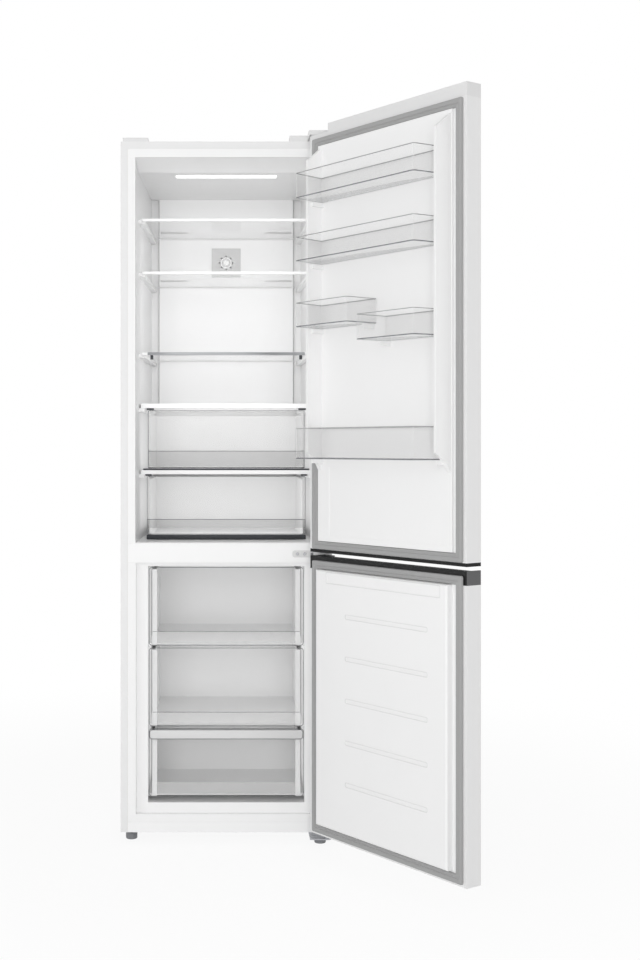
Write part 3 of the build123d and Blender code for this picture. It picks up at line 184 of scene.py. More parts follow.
def joined(name, meshes):
    form = bmesh.new()
    for mesh in meshes:
        form.from_mesh(mesh)
    mesh = bpy.data.meshes.new(name)
    form.to_mesh(mesh)
    form.free()
    return mesh


def cloudy(tree, size, detail):  # noise in the part's own axes, its grain given in mm
    place = addNode(tree, "ShaderNodeTexCoord").outputs["Object"]
    settings = {"Scale": 1000 / size, "Detail": detail}
    return addNode(tree, "ShaderNodeTexNoise", settings, {"Vector": place}).outputs["Fac"]


def fineBump(tree, size, strength, depth):  # size of the grain and its depth, in mm
    settings = {"Strength": strength, "Distance": depth / 1000}
    bump = addNode(tree, "ShaderNodeBump", settings, {"Height": cloudy(tree, size, 3.0)})
    return bump.outputs["Normal"]


def softTone(tree, colour, share):  # the colour with a slight drift over hundreds of mm
    cloud, light = cloudy(tree, 350, 2.0), hexColour(colour)
    dark = [part * (1 - share) for part in light[:3]] + [1.0]
    tone = addNode(tree, "ShaderNodeMix", {6: dark, 7: light}, {0: cloud}, data_type="RGBA")
    return tone.outputs[2], cloud


# coil-coated or stoved sheet: even colour, a clear coat's gloss over a faint orange peel
def paintedSheet(tree, colour, roughness, peelSize, peelDepth):
    tone, cloud = softTone(tree, colour, 0.015)
    sheen = addNode(
        tree, "ShaderNodeMapRange", {"To Min": roughness - 0.03, "To Max": roughness + 0.04},
        {"Value": cloud},
    )
    return addNode(
        tree, "ShaderNodeBsdfPrincipled", {"IOR": 1.5, "Coat Weight": 0.25, "Coat Roughness": 0.12},
        {"Base Color": tone, "Roughness": sheen.outputs["Result"],
         "Normal": fineBump(tree, peelSize, 0.25, peelDepth)},
    )


# moulded or vacuum formed plastic: fine mould grain that breaks up the highlight
def mouldedPlastic(tree, colour, roughness, grainSize, grainDepth, drift=0.02, density=1.5):
    tone = softTone(tree, colour, drift)[0]
    return addNode(
        tree, "ShaderNodeBsdfPrincipled", {"Roughness": roughness, "IOR": density},
        {"Base Color": tone, "Normal": fineBump(tree, grainSize, 0.2, grainDepth)},
    )


# thin clear wall: passes what is behind it, with a little haze, and shines more at a glance.
# Each wall has two faces, so each takes half the tint. What is seen goes straight on by
# refraction without a bend, and lamplight by transparency, so walls in a row stay clear
def clearShell(tree, tint, milk, haze, gloss, ripple, glance=0.4):
    path = addNode(tree, "ShaderNodeLightPath")
    lit = addNode(
        tree, "ShaderNodeMath", None,
        {0: path.outputs["Is Shadow Ray"], 1: path.outputs["Is Diffuse Ray"]}, operation="MAXIMUM",
    )
    facing = addNode(tree, "ShaderNodeLayerWeight", {"Blend": 0.5})
    steep = addNode(
        tree, "ShaderNodeMath", {1: 4.0}, {0: facing.outputs["Facing"]}, operation="POWER"
    )
    share = addNode(
        tree, "ShaderNodeMapRange", {"To Min": 0.03, "To Max": glance}, {"Value": steep.outputs[0]}
    )
    through = addNode(
        tree, "ShaderNodeBsdfRefraction", {"Color": hexColour(tint), "Roughness": 0.0, "IOR": 1.0}
    )
    cloud = addNode(tree, "ShaderNodeBsdfDiffuse", {"Color": hexColour(milk)})
    wall = addNode(
        tree, "ShaderNodeMixShader", {0: haze}, {1: through.outputs[0], 2: cloud.outputs[0]}
    )
    shine = addNode(
        tree, "ShaderNodeBsdfGlossy", {"Color": (1, 1, 1, 1), "Roughness": gloss},
        {"Normal": fineBump(tree, 40, ripple, 0.1)},
    )
    seen = addNode(
        tree, "ShaderNodeMixShader", None,
        {0: share.outputs["Result"], 1: wall.outputs[0], 2: shine.outputs[0]},
    )
    lamplight = addNode(tree, "ShaderNodeBsdfTransparent", {"Color": hexColour("#FAFAFA")})
    return addNode(
        tree, "ShaderNodeMixShader", None,
        {0: lit.outputs[0], 1: seen.outputs[0], 2: lamplight.outputs[0]},
    )


# one moulding in two plastics: white tub, and a clear front wall that lies in front of a depth,
# within half a width of the middle and in the given spans of height
def drawerPlastic(tree, white, depth, half, spans):
    place = addNode(tree, "ShaderNodeTexCoord")
    split = addNode(tree, "ShaderNodeSeparateXYZ", None, {0: place.outputs["Object"]})
    side = addNode(tree, "ShaderNodeMath", None, {0: split.outputs["X"]}, operation="ABSOLUTE")
    near = addNode(
        tree, "ShaderNodeMath", {1: (cabinet["front"] + depth) / 1000}, {0: split.outputs["Y"]},
        operation="LESS_THAN",
    )
    within = addNode(
        tree, "ShaderNodeMath", {1: half / 1000}, {0: side.outputs[0]}, operation="LESS_THAN"
    )
    wall = addNode(
        tree, "ShaderNodeMath", None, {0: within.outputs[0], 1: near.outputs[0]},
        operation="MULTIPLY",
    )
    levels = [addNode(
        tree, "ShaderNodeMath", {1: (low + high) / 2000, 2: (high - low) / 2000},
        {0: split.outputs["Z"]}, operation="COMPARE",
    ) for low, high in spans]
    level = levels[0]
    for other in levels[1:]:
        level = addNode(
            tree, "ShaderNodeMath", None, {0: level.outputs[0], 1: other.outputs[0]},
            operation="MAXIMUM",
        )
    mask = addNode(
        tree, "ShaderNodeMath", None, {0: wall.outputs[0], 1: level.outputs[0]},
        operation="MULTIPLY",
    )
    tone = softTone(tree, white, 0.01)[0]
    solid = addNode(
        tree, "ShaderNodeBsdfPrincipled", {"Roughness": 0.3, "IOR": 1.5},
        {"Base Color": tone, "Normal": fineBump(tree, 0.9, 0.2, 0.02)},
    )
    through = addNode(tree, "ShaderNodeBsdfTransparent", {"Color": hexColour("#F8F8F8")})
    clear = addNode(
        tree, "ShaderNodeMixShader", {0: 0.22}, {1: through.outputs[0], 2: solid.outputs[0]}
    )
    return addNode(
        tree, "ShaderNodeMixShader", None,
        {0: mask.outputs[0], 1: solid.outputs[0], 2: clear.outputs[0]},
    )


# extruded handle: black along the door and graphite on the end faces
def handleProfile(tree, black, graphite, turn):
    place = addNode(tree, "ShaderNodeTexCoord")
    along = addNode(
        tree, "ShaderNodeVectorMath", {1: (-cos(radians(turn)), -sin(radians(turn)), 0)},
        {0: place.outputs["Normal"]}, operation="DOT_PRODUCT",
    )
    end = addNode(
        tree, "ShaderNodeMath", {1: 0.6}, {0: along.outputs["Value"]}, operation="GREATER_THAN"
    )
    light = softTone(tree, graphite, 0.02)[0]
    tone = addNode(
        tree, "ShaderNodeMix", {6: hexColour(black)}, {0: end.outputs[0], 7: light},
        data_type="RGBA",
    )
    return addNode(
        tree, "ShaderNodeBsdfPrincipled", {"Roughness": 0.42, "IOR": 1.4},
        {"Base Color": tone.outputs[2], "Normal": fineBump(tree, 0.7, 0.2, 0.03)},
    )


# rolled, drawn or plated metal with fine marks along one way
def markedMetal(tree, colour, roughness, markSize, stretch):
    place = addNode(tree, "ShaderNodeTexCoord")
    along = addNode(
        tree, "ShaderNodeMapping", {"Scale": stretch}, {"Vector": place.outputs["Object"]}
    )
    noise = addNode(
        tree, "ShaderNodeTexNoise", {"Scale": 1000 / markSize, "Detail": 4.0},
        {"Vector": along.outputs[0]},
    )
    rough = addNode(
        tree, "ShaderNodeMapRange", {"To Min": roughness - 0.07, "To Max": roughness + 0.1},
        {"Value": noise.outputs["Fac"]},
    )
    bump = addNode(
        tree, "ShaderNodeBump", {"Strength": 0.15, "Distance": 0.0002},
        {"Height": noise.outputs["Fac"]},
    )
    return addNode(
        tree, "ShaderNodeBsdfPrincipled", {"Base Color": hexColour(colour), "Metallic": 1.0},
        {"Roughness": rough.outputs["Result"], "Normal": bump.outputs["Normal"]},
    )


# opal cover over the light strip: glows evenly, soft sheen
def opalDiffuser(tree, colour, strength):
    return addNode(
        tree, "ShaderNodeBsdfPrincipled",
        {"Base Color": hexColour(colour), "Roughness": 0.4, "Emission Color": hexColour(colour),
         "Emission Strength": strength},
        {"Normal": fineBump(tree, 2.5, 0.05, 0.05)},
    )


enamel = finish("whiteCoilCoatedSteel", paintedSheet, "#EBEBEB", 0.3, 2.5, 0.02)
railEnamel = finish("whiteRailEnamel", paintedSheet, "#F8F8F8", 0.32, 2.5, 0.02)
hingePaint = finish("paleGreyHingePaint", paintedSheet, "#DEDEDE", 0.36, 1.2, 0.03)
blackPaint = finish("blackStovedPaint", paintedSheet, "#1C1C1E", 0.38, 1.2, 0.1)
liner = finish("vacuumFormedWhiteLiner", mouldedPlastic, "#F6F6F6", 0.36, 1.2, 0.02, 0.01)
whiteAbs = finish("whiteMouldedAbs", mouldedPlastic, "#FCFCFC", 0.3, 0.9, 0.02, 0.01)
drawerAbs = finish("whiteAndClearDrawerPolystyrene", drawerPlastic, "#F6F6F6", 28.9, 195.8,
                   [(561.2, 594.2), (332.7, 365.7), (133.7, 166.7)])
milkPlastic = finish("whiteMouldedPolystyreneTub", mouldedPlastic, "#F4F4F4", 0.28, 0.9, 0.02, 0.01)
capAbs = finish("paleGreyMouldedAbs", mouldedPlastic, "#E4E4E4", 0.38, 0.8, 0.03)
ventAbs = finish("greySatinVentAbs", mouldedPlastic, "#D2D2D2", 0.35, 0.8, 0.03)
blackAbs = finish("blackSatinAbs", mouldedPlastic, "#0B0B0C", 0.42, 1.0, 0.02, 0.02, 1.35)
handleAbs = finish("blackHandleProfile", handleProfile, "#0C0C0D", "#5E5E5F", doors["openTurn"])
sealTpe = finish("greyExtrudedSeal", mouldedPlastic, "#A4A4A4", 0.55, 0.5, 0.05)
footNylon = finish("greyNylonFoot", mouldedPlastic, "#86878A", 0.45, 0.6, 0.06)
# dark plastic of the fan, drip tray and rollers, also used for dark strips painted as shade in gaps
darkPlasticAndShadeStrips = finish("darkPolypropyleneAndPaintedShade", mouldedPlastic, "#3C3E42", 0.5, 0.7, 0.06)
foam = finish("rigidYellowFoam", mouldedPlastic, "#DCCB9A", 0.85, 2.0, 0.4, 0.12)
# dark grey for fine lines painted as the shade and dark refraction at the edges of clear plastic
# and in the gaps beside them
paintedEdgeShade = finish("paintedDarkEdgeShade", mouldedPlastic, "#5C5E62", 0.3, 0.8, 0.01)
# grey for the rims and corner lines of the clear bins, painted as the light and shade their edges
# show
paintedEdgeGrey = finish("paintedGreyEdgeTone", mouldedPlastic, "#A4A4A5", 0.25, 0.8, 0.01)
# a little darker than the liner: painted shade along the pressed rims of the freezer door's liner
creaseShade = finish("paintedShadeOfPressedEdges", mouldedPlastic, "#E9E9E9", 0.5, 0.8, 0.01)
shelfGlass = finish("temperedShelfGlass", clearShell, "#FCFCFC", "#EFEFEF", 0.02, 0.03, 0.02, 0.16)
clearStyrene = finish("clearMouldedPolystyrene", clearShell, "#FDFDFD", "#F4F4F4", 0.02, 0.05, 0.06)
frostStyrene = finish("frostedCrisperFront", clearShell, "#FAFAFA", "#F7F7F7", 0.2, 0.45, 0.05)
smokeStyrene = finish("smokedCrisperBand", clearShell, "#F0F0F0", "#DADADA", 0.08, 0.08, 0.05)
# clear wall with a dark haze: painted shade for the base edge of the door bins
baseShadeStyrene = finish("clearPlasticWithPaintedBaseShade", clearShell, "#A9ABAF", "#55575B", 0.4, 0.1, 0.05)
zincSheet = finish("galvanisedSteelSheet", markedMetal, "#C3C6C9", 0.42, 6.0, (1, 1, 8))
hingeSteel = finish("zincPlatedHingeSteel", markedMetal, "#B2B3B7", 0.38, 4.0, (1, 6, 1))
trimSteel = finish("satinShelfTrim", markedMetal, "#BFC0C3", 0.34, 4.0, (0.2, 5, 5))
screwSteel = finish("nickelScrewHead", markedMetal, "#C9CACD", 0.25, 1.0, (1, 1, 1))
finAluminium = finish("finAluminium", markedMetal, "#DADCDE", 0.3, 3.0, (6, 1, 1))
opalLens = finish("opalLightDiffuser", opalDiffuser, "#FFFFFF", 1.1)

nodeFinish = {
    enamel: ["outer_wrap", "fridge_door_panel", "freezer_door_panel"],
    railEnamel: ["front_rails"],
    hingePaint: ["top_hinge", "middle_hinge"],
    liner: ["fridge_liner", "freezer_liner", "duct_panel", "ceiling_panel", "evaporator_cover",
            "fridge_door_liner", "freezer_door_liner"],
    whiteAbs: ["shelf_trim_1", "shelf_trim_2", "shelf_trim_3", "crisper_cover_frames"],
    drawerAbs: ["freezer_drawer_top_body", "freezer_drawer_middle_body",
                "freezer_drawer_bottom_body"],
    capAbs: ["top_hinge_cover", "top_left_cap", "fridge_door_top_cap"],
    ventAbs: ["vent_cover"],
    blackAbs: ["fridge_door_bottom_trim", "cord_gland"],
    handleAbs: ["freezer_door_handle"],
    sealTpe: ["fridge_door_gasket", "freezer_door_gasket"],
    footNylon: ["front_foot_left", "front_foot_right"],
    darkPlasticAndShadeStrips: ["fan_motor", "fan_impeller", "drip_tray", "rear_rollers"],
    foam: ["cabinet_foam", "fridge_door_foam", "freezer_door_foam"],
    blackPaint: ["compressor", "condenser"],
    shelfGlass: ["shelf_glass_1", "shelf_glass_2", "shelf_glass_3", "crisper_cover_glasses"],
    clearStyrene: ["crisper_upper", "crisper_lower", "freezer_drawer_top_front",
                   "freezer_drawer_middle_front", "freezer_drawer_bottom_front", "door_bin_1",
                   "door_bin_2", "door_bin_3", "door_bin_4", "door_bin_5"],
    zincSheet: ["back_panel", "base_tray"],
    hingeSteel: ["bottom_hinge"],
    screwSteel: ["hinge_screws"],
    finAluminium: ["evaporator"],
    opalLens: ["light_lens"],
}
for material, names in nodeFinish.items():
    for name in names:
        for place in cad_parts[name].material_slots:
            place.material = material
print("finishes on", sum(len(names) for names in nodeFinish.values()), "nodes")


def nodeTree(name, sockets):
    tree = bpy.data.node_groups.new(name, "GeometryNodeTree")
    tree.interface.new_socket(name="Geometry", in_out="INPUT", socket_type="NodeSocketGeometry")
    for label, kind in sockets:
        tree.interface.new_socket(name=label, in_out="INPUT", socket_type="NodeSocket" + kind)
    tree.interface.new_socket(name="Geometry", in_out="OUTPUT", socket_type="NodeSocketGeometry")
    return tree, addNode(tree, "NodeGroupInput"), addNode(tree, "NodeGroupOutput")


def finishTree(tree, source, output, geometry):
    real = addNode(tree, "GeometryNodeRealizeInstances", None, {"Geometry": geometry})
    finish = addNode(
        tree, "GeometryNodeSetMaterial", None,
        {"Geometry": real.outputs["Geometry"], "Material": source.outputs["Material"]},
    )
    tree.links.new(finish.outputs["Geometry"], output.inputs["Geometry"])


def runTree(name, tree, inputs, source):
    holder = bpy.data.objects.new(name + "Source", source)
    bpy.context.collection.objects.link(holder)
    modifier = holder.modifiers.new("nodes", "NODES")
    modifier.node_group = tree
    for item in tree.interface.items_tree:
        if item.in_out == "INPUT" and item.name in inputs:
            modifier[item.identifier] = inputs[item.name]
    graph = bpy.context.evaluated_depsgraph_get()
    mesh = bpy.data.meshes.new_from_object(holder.evaluated_get(graph))
    mesh.name = name
    holder.modifiers.remove(modifier)
    bpy.data.objects.remove(holder)
    return mesh


# cross-recess screw heads on points, each turned along the point's own axis
def screwTree():
    tree, source, output = nodeTree(
        "screwHeads", [("Head Radius", "Float"), ("Head Height", "Float"), ("Material", "Material")]
    )
    radius, height = source.outputs["Head Radius"], source.outputs["Head Height"]
    head = addNode(
        tree, "GeometryNodeMeshCone", {"Vertices": 24, "Side Segments": 1, "Fill Segments": 1},
        {"Radius Bottom": radius, "Depth": height},
    )
    top = addNode(tree, "ShaderNodeMath", {1: 0.72}, {0: radius}, operation="MULTIPLY")
    tree.links.new(top.outputs[0], head.inputs["Radius Top"])
    thin = addNode(tree, "ShaderNodeMath", {1: 0.24}, {0: radius}, operation="MULTIPLY").outputs[0]
    cuts = []
    for wide, deep in ((radius, thin), (thin, radius)):
        size = addNode(tree, "ShaderNodeCombineXYZ", None, {"X": wide, "Y": deep, "Z": height})
        bar = addNode(tree, "GeometryNodeMeshCube", None, {"Size": size.outputs[0]})
        lift = addNode(tree, "ShaderNodeCombineXYZ", None, {"Z": height})
        cuts.append(addNode(
            tree, "GeometryNodeTransform", None,
            {"Geometry": bar.outputs["Mesh"], "Translation": lift.outputs[0]},
        ))
    cut = addNode(tree, "GeometryNodeMeshBoolean", operation="DIFFERENCE", solver="EXACT")
    tree.links.new(head.outputs["Mesh"], cut.inputs[0])
    for piece in cuts:
        tree.links.new(piece.outputs["Geometry"], cut.inputs[1])
    axis = addNode(
        tree, "GeometryNodeInputNamedAttribute", {"Name": "axis"}, data_type="FLOAT_VECTOR"
    )
    turn = addNode(
        tree, "FunctionNodeAlignRotationToVector", None, {"Vector": axis.outputs[0]}, axis="Z"
    )
    placed = addNode(
        tree, "GeometryNodeInstanceOnPoints", None,
        {"Points": source.outputs["Geometry"], "Instance": cut.outputs["Mesh"],
         "Rotation": turn.outputs["Rotation"]},
    )
    finishTree(tree, source, output, placed.outputs["Instances"])
    return tree


# a round tube or bead along a path, its corners rounded to a bend radius
def tubeTree():
    tree, source, output = nodeTree(
        "bentTube", [("Tube Radius", "Float"), ("Bend Radius", "Float"), ("Sides", "Int"),
                     ("Material", "Material")]
    )
    bends = addNode(
        tree, "GeometryNodeFilletCurve", {"Count": 5, "Limit Radius": True},
        {"Curve": source.outputs["Geometry"], "Radius": source.outputs["Bend Radius"]}, mode="POLY",
    )
    ring = addNode(
        tree, "GeometryNodeCurvePrimitiveCircle", None,
        {"Radius": source.outputs["Tube Radius"], "Resolution": source.outputs["Sides"]},
    )
    tube = addNode(
        tree, "GeometryNodeCurveToMesh", {"Fill Caps": True},
        {"Curve": bends.outputs[0], "Profile Curve": ring.outputs[0]},
    )
    smooth = addNode(tree, "GeometryNodeSetShadeSmooth", None, {0: tube.outputs["Mesh"]})
    finishTree(tree, source, output, smooth.outputs[0])
    return tree


# copies of a block set out in a row by count and step
def rowTree():
    tree, source, output = nodeTree(
        "blockRow", [("Start", "Vector"), ("Step", "Vector"), ("Size", "Vector"), ("Count", "Int"),
                     ("Material", "Material")]
    )
    line = addNode(
        tree, "GeometryNodeMeshLine", None,
        {"Count": source.outputs["Count"], "Start Location": source.outputs["Start"],
         "Offset": source.outputs["Step"]}, mode="OFFSET",
    )
    block = addNode(tree, "GeometryNodeMeshCube", None, {"Size": source.outputs["Size"]})
    placed = addNode(
        tree, "GeometryNodeInstanceOnPoints", None,
        {"Points": line.outputs["Mesh"], "Instance": block.outputs["Mesh"]},
    )
    finishTree(tree, source, output, placed.outputs["Instances"])
    return tree


# ribs standing round an upright axis, for the feet
def ribTree():
    tree, source, output = nodeTree(
        "ribsRound", [("Centre", "Vector"), ("Radius", "Float"), ("Size", "Vector"),
                      ("Count", "Int"), ("Material", "Material")]
    )
    ring = addNode(
        tree, "GeometryNodeMeshCircle", None,
        {"Vertices": source.outputs["Count"], "Radius": source.outputs["Radius"]},
    )
    place = addNode(tree, "GeometryNodeInputPosition")
    turn = addNode(
        tree, "FunctionNodeAlignRotationToVector", None, {"Vector": place.outputs[0]}, axis="X"
    )
    rib = addNode(tree, "GeometryNodeMeshCube", None, {"Size": source.outputs["Size"]})
    placed = addNode(
        tree, "GeometryNodeInstanceOnPoints", None,
        {"Points": ring.outputs["Mesh"], "Instance": rib.outputs["Mesh"],
         "Rotation": turn.outputs["Rotation"]},
    )
    moved = addNode(
        tree, "GeometryNodeTransform", None,
        {"Geometry": placed.outputs["Instances"], "Translation": source.outputs["Centre"]},
    )
    finishTree(tree, source, output, moved.outputs["Geometry"])
    return tree


screws, tubes, rows, ribs = screwTree(), tubeTree(), rowTree(), ribTree()


def screwMesh(name, places, radius, height):  # places: (point in metres, axis) pairs
    source = bpy.data.meshes.new(name + "Points")
    source.from_pydata([tuple(p) for p, _ in places], [], [])
    axes = source.attributes.new("axis", "FLOAT_VECTOR", "POINT")
    axes.data.foreach_set("vector", [c for _, axis in places for c in axis])
    inputs = {"Head Radius": radius / 1000, "Head Height": height / 1000, "Material": screwSteel}
    return sharpen(runTree(name, screws, inputs, source), 30)


def tubeMesh(name, points, radius, bend, material, closed=False, sides=8):  # points in metres
    curve = bpy.data.curves.new(name + "Path", "CURVE")
    curve.dimensions = "3D"
    line = curve.splines.new("POLY")
    line.points.add(len(points) - 1)
    for place, point in zip(line.points, points):
        place.co = (*point, 1)
    line.use_cyclic_u = closed
    inputs = {"Tube Radius": radius / 1000, "Bend Radius": bend / 1000, "Sides": sides,
              "Material": material}
    return runTree(name, tubes, inputs, curve)


def edgeLine(name, points, radius, material, closed=True, bend=1.0):  # fine bead along an edge
    return tubeMesh(name, points, radius, bend, material, closed, 6)


def rowMesh(name, start, step, size, count, material):
    inputs = {"Start": start, "Step": step, "Size": size, "Count": count, "Material": material}
    return runTree(name, rows, inputs, bpy.data.meshes.new(name + "Source"))


# moulded section led round each door, with its magnet bead and bellows fold; each door gives its
# body, the node that the seal stands for, left and right edge, and low and high edge
seal = {
    "section": [(1.6, -0.02), (0.5, -1.2), (0.5, -3.0), (1.6, -4.2), (1.0, -5.4), (1.3, -6.8),
                (2.6, -7.6), (10.6, -7.66), (12.2, -7.0), (12.6, -5.6), (14.2, -4.7),
                (16.0, -5.4), (18.2, -6.3), (21.2, -5.6), (22.6, -3.6), (21.6, -2.2),
                (22.9, -1.2), (22.6, -0.02)],
    "corner": 5.0, "leastCorner": 1.2,
    "doors": {
        "fridgeDoorSeal": ("fridge_door", "fridge_door_gasket", 14.0, 584.7, 836.3, 1964.0),
        "freezerDoorSeal": ("freezer_door", "freezer_door_gasket", 14.0, 584.7, 57.9, 805.5),
    },
}
for name, (body, node, left, right, low, high) in seal["doors"].items():
    points, size = [], 0
    for inset, n in seal["section"]:
        outline = [(left + inset, low + inset), (right - inset, low + inset),
                   (right - inset, high - inset), (left + inset, high - inset)]
        loop = roundedLoop(outline, [max(seal["corner"] - inset, seal["leastCorner"])] * 4)
        size = len(loop)
        points += [onDoor(s, n, z) for s, z in loop]
    mesh = meshFrom(name, points, loopFaces(len(seal["section"]), size), 50)
    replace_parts(addPiece(name, mesh, body, [sealTpe]), node)
print("door seals made")


# clear door bins: drawn-in ends, rounded front corners, a base edge with painted shade and a rim
# painted grey
binShape = {"wall": 2.5, "corner": 8.0, "backCorner": 2.0, "back": -8.1, "front": -112.0,
            "baseEdge": 2.8, "rim": 2.0, "soft": 0.7, "cove": 2.0, "line": 0.7, "thin": 0.7,
            "footSeat": 0.8, "rimSeat": (0.6, 0.4), "cornerSeat": 2.6, "backSeat": (1.0, 2.0)}
# body, node, s of the hinge side and of the free side (at the back and at the front), low, high
binPlaces = {
    "doorBinOne": ("bin_1", "door_bin_1", (57.1, 73.0), (537.4, 528.0), 1781.5, 1850.0),
    "doorBinTwo": ("bin_2", "door_bin_2", (57.1, 73.0), (537.4, 528.0), 1613.0, 1679.0),
    "doorBinThree": ("bin_3", "door_bin_3", (57.1, 73.0), (281.0, 281.0), 1437.0, 1503.0),
    "doorBinFour": ("bin_4", "door_bin_4", (317.5, 317.5), (537.4, 528.0), 1388.0, 1454.0),
    "doorBottleBin": ("bin_5", "door_bin_5", (57.1, 73.0), (537.4, 528.0), 1085.0, 1168.0),
}


def binLoop(hingeSide, freeSide, inset, z):
    back, reach = binShape["back"] - inset, binShape["front"] + inset
    outline = [(hingeSide[0] + inset, back), (hingeSide[1] + inset, reach),
               (freeSide[1] - inset, reach), (freeSide[0] - inset, back)]
    front = max(binShape["corner"] - inset, 1.0)
    rear = max(binShape["backCorner"] - inset, 0.4)
    return [onDoor(s, n, z) for s, n in roundedLoop(outline, [rear, front, front, rear])]


def doorBin(name, hingeSide, freeSide, low, high):
    wall, soft, cove = binShape["wall"], binShape["soft"], binShape["cove"]
    baseTop, rimFoot = low + binShape["baseEdge"], high - binShape["rim"]
    levels = [(soft, low), (0, low + soft), (0, baseTop), (0, rimFoot), (0, high - soft),
              (soft, high), (wall - soft, high), (wall, high - soft), (wall, rimFoot),
              (wall, low + wall + cove), (wall + 0.3 * cove, low + wall + 0.3 * cove),
              (wall + cove, low + wall)]
    mesh = lofted(name, [binLoop(hingeSide, freeSide, inset, z) for inset, z in levels])
    # faces round the base take the painted base shade, faces of the rim the painted grey edge tone
    for polygon in mesh.polygons:
        z = polygon.center.z * 1000
        if abs(polygon.normal.z) < 0.9 and z < baseTop:
            polygon.material_index = 1
        elif z > rimFoot:
            polygon.material_index = 2
    return mesh


# the foot line is painted dark shade, the rim and corner lines a painted grey edge tone
def binLines(name, hingeSide, freeSide, low, high):  # lines of the foot, the rim and the corners
    edge, thin = binShape["line"], binShape["line"] * binShape["thin"]
    seat, (rimIn, rimDown) = binShape["footSeat"], binShape["rimSeat"]
    foot = binLoop(hingeSide, freeSide, seat, low + seat)
    rim = binLoop(hingeSide, freeSide, rimIn, high - rimDown)
    parts = [edgeLine("foot", foot, edge, paintedEdgeShade), edgeLine("rim", rim, thin, paintedEdgeGrey)]
    corner, (side, rear) = binShape["cornerSeat"], binShape["backSeat"]
    back, reach = binShape["back"] - rear, binShape["front"] + corner
    for s, n in ((hingeSide[0] + side, back), (hingeSide[1] + corner, reach),
                 (freeSide[1] - corner, reach), (freeSide[0] - side, back)):
        upright = [onDoor(s, n, z) for z in (low + binShape["rim"], high - binShape["rim"])]
        parts.append(edgeLine("upright", upright, thin, paintedEdgeGrey, False))
    return joined(name, parts)


for name, (body, node, hingeSide, freeSide, low, high) in binPlaces.items():
    mesh = doorBin(name, hingeSide, freeSide, low, high)
    kept = [polygon.material_index for polygon in mesh.polygons]
    piece = addPiece(name, mesh, body, [clearStyrene, baseShadeStyrene, paintedEdgeGrey])
    mesh.polygons.foreach_set("material_index", kept)
    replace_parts(piece, node)
    lines = binLines(name + "Edges", hingeSide, freeSide, low, high)
    addPiece(name + "Edges", lines, body, None)
print("door bins made")


def frontOutline(half, depth, low, high):  # corners of an upright rectangle seen from the front
    corners = ((-half, low), (half, low), (half, high), (-half, high))
    return [inside(x, depth, z) for x, z in corners]


# crispers: white tub with a clear front, frosted above a moulded step and smoked below it
crispers = {
    "front": (115.0, 119.0), "back": 482.0, "wall": 2.5, "bevel": (6.0, 10.0), "rim": 4.5,
    "round": 4.0, "innerRound": 3.0, "lipRound": 0.5, "corner": 4.0, "seam": 0.3, "lip": (12, 2.5),
    "edge": {"radius": 0.9, "inset": 1.2, "depth": 1.6},
    "stepLine": {"radius": 0.8, "inset": 1.0},
    # body, node, half width and heights of the front, the same of the tub, step, top of the band
    "tubs": {
        "upper": ("upper_crisper", "crisper_upper", 227.4, (1054.3, 1223.2),
                  223.2, (1049.3, 1214.2), 1104.6, 1061.4),
        "lower": ("lower_crisper", "crisper_lower", 230.4, (862.8, 1032.0),
                  223.2, (857.8, 1023.0), 906.5, 882.4),
    },
}


def crisperTub(name, half, low, high):
    wall, (bevel, rise), rim = crispers["wall"], crispers["bevel"], crispers["rim"]
    back, base, slope = crispers["back"], half - bevel, low + rise
    out = [(half, high), (half, slope), (base, low)]
    into = [(half - rim, high), (half - rim, high - wall), (half - wall, high - 2 * wall),
            (half - wall, slope), (base - wall / 2, low + wall)]
    outer = [(-x, z) for x, z in out] + out[::-1]
    section = outer + into + [(-x, z) for x, z in into[::-1]]
    lip, turn, inner = crispers["lipRound"], crispers["round"], crispers["innerRound"]
    rounds = [lip] + [turn] * 4 + [lip]
    loop = roundedLoop(section, rounds + [lip] * 3 + [inner] * 4 + [lip] * 3, 3)
    trough = lofted(name, [[inside(x, d, z) for x, z in loop]
                           for d in (crispers["front"][1] + 0.2, back - wall / 2)])
    outer = roundedLoop(outer, rounds, 3)
    rear = lofted(name, [[inside(x, d, z) for x, z in outer] for d in (back - wall, back)])
    return joined(name, [trough, rear])


for kind, facts in crispers["tubs"].items():
    body, node, half, (low, high), tubHalf, tubHeights, step, band = facts
    (near, far), corner, seam = crispers["front"], crispers["corner"], crispers["seam"]
    lipDeep, lipThick = crispers["lip"]
    name = kind + "Crisper"
    tub = addPiece(name + "Tub", crisperTub(name + "Tub", tubHalf, *tubHeights), body,
                   [milkPlastic])
    x, depth = (-half, half), (near, far)
    parts = [
        (slabMesh("frost", x, depth, (step, high), corner), frostStyrene),
        (slabMesh("smoke", x, depth, (band, step - seam), 0.8), smokeStyrene),
        (slabMesh("clear", x, depth, (low, band - seam), corner), clearStyrene),
        (slabMesh("lip", (-tubHalf, tubHalf), (far, far + lipDeep), (high - lipThick, high), 1.0),
         frostStyrene),
    ]
    fronts = [addPiece(name + "Front" + str(index + 1), mesh, body, [material])
              for index, (mesh, material) in enumerate(parts)]
    # dark lines painted round the front's edge and along its step, as the shade seen there
    edge, stepLine = crispers["edge"], crispers["stepLine"]
    side, foot, top = half - edge["inset"], low + edge["inset"], high - edge["inset"]
    outline = frontOutline(side, near + edge["depth"], foot, top)
    side = half - stepLine["inset"]
    along = [inside(x, near + stepLine["radius"], step) for x in (-side, side)]
    lines = [edgeLine("edge", outline, edge["radius"], paintedEdgeShade, True, corner),
             tubeMesh("step", along, stepLine["radius"], 1, paintedEdgeShade)]
    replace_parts(tub, node)
    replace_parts(fronts[0], node)
    addPiece(name + "Edges", joined(name + "Edges", lines), body, [paintedEdgeShade])
print("crispers made")


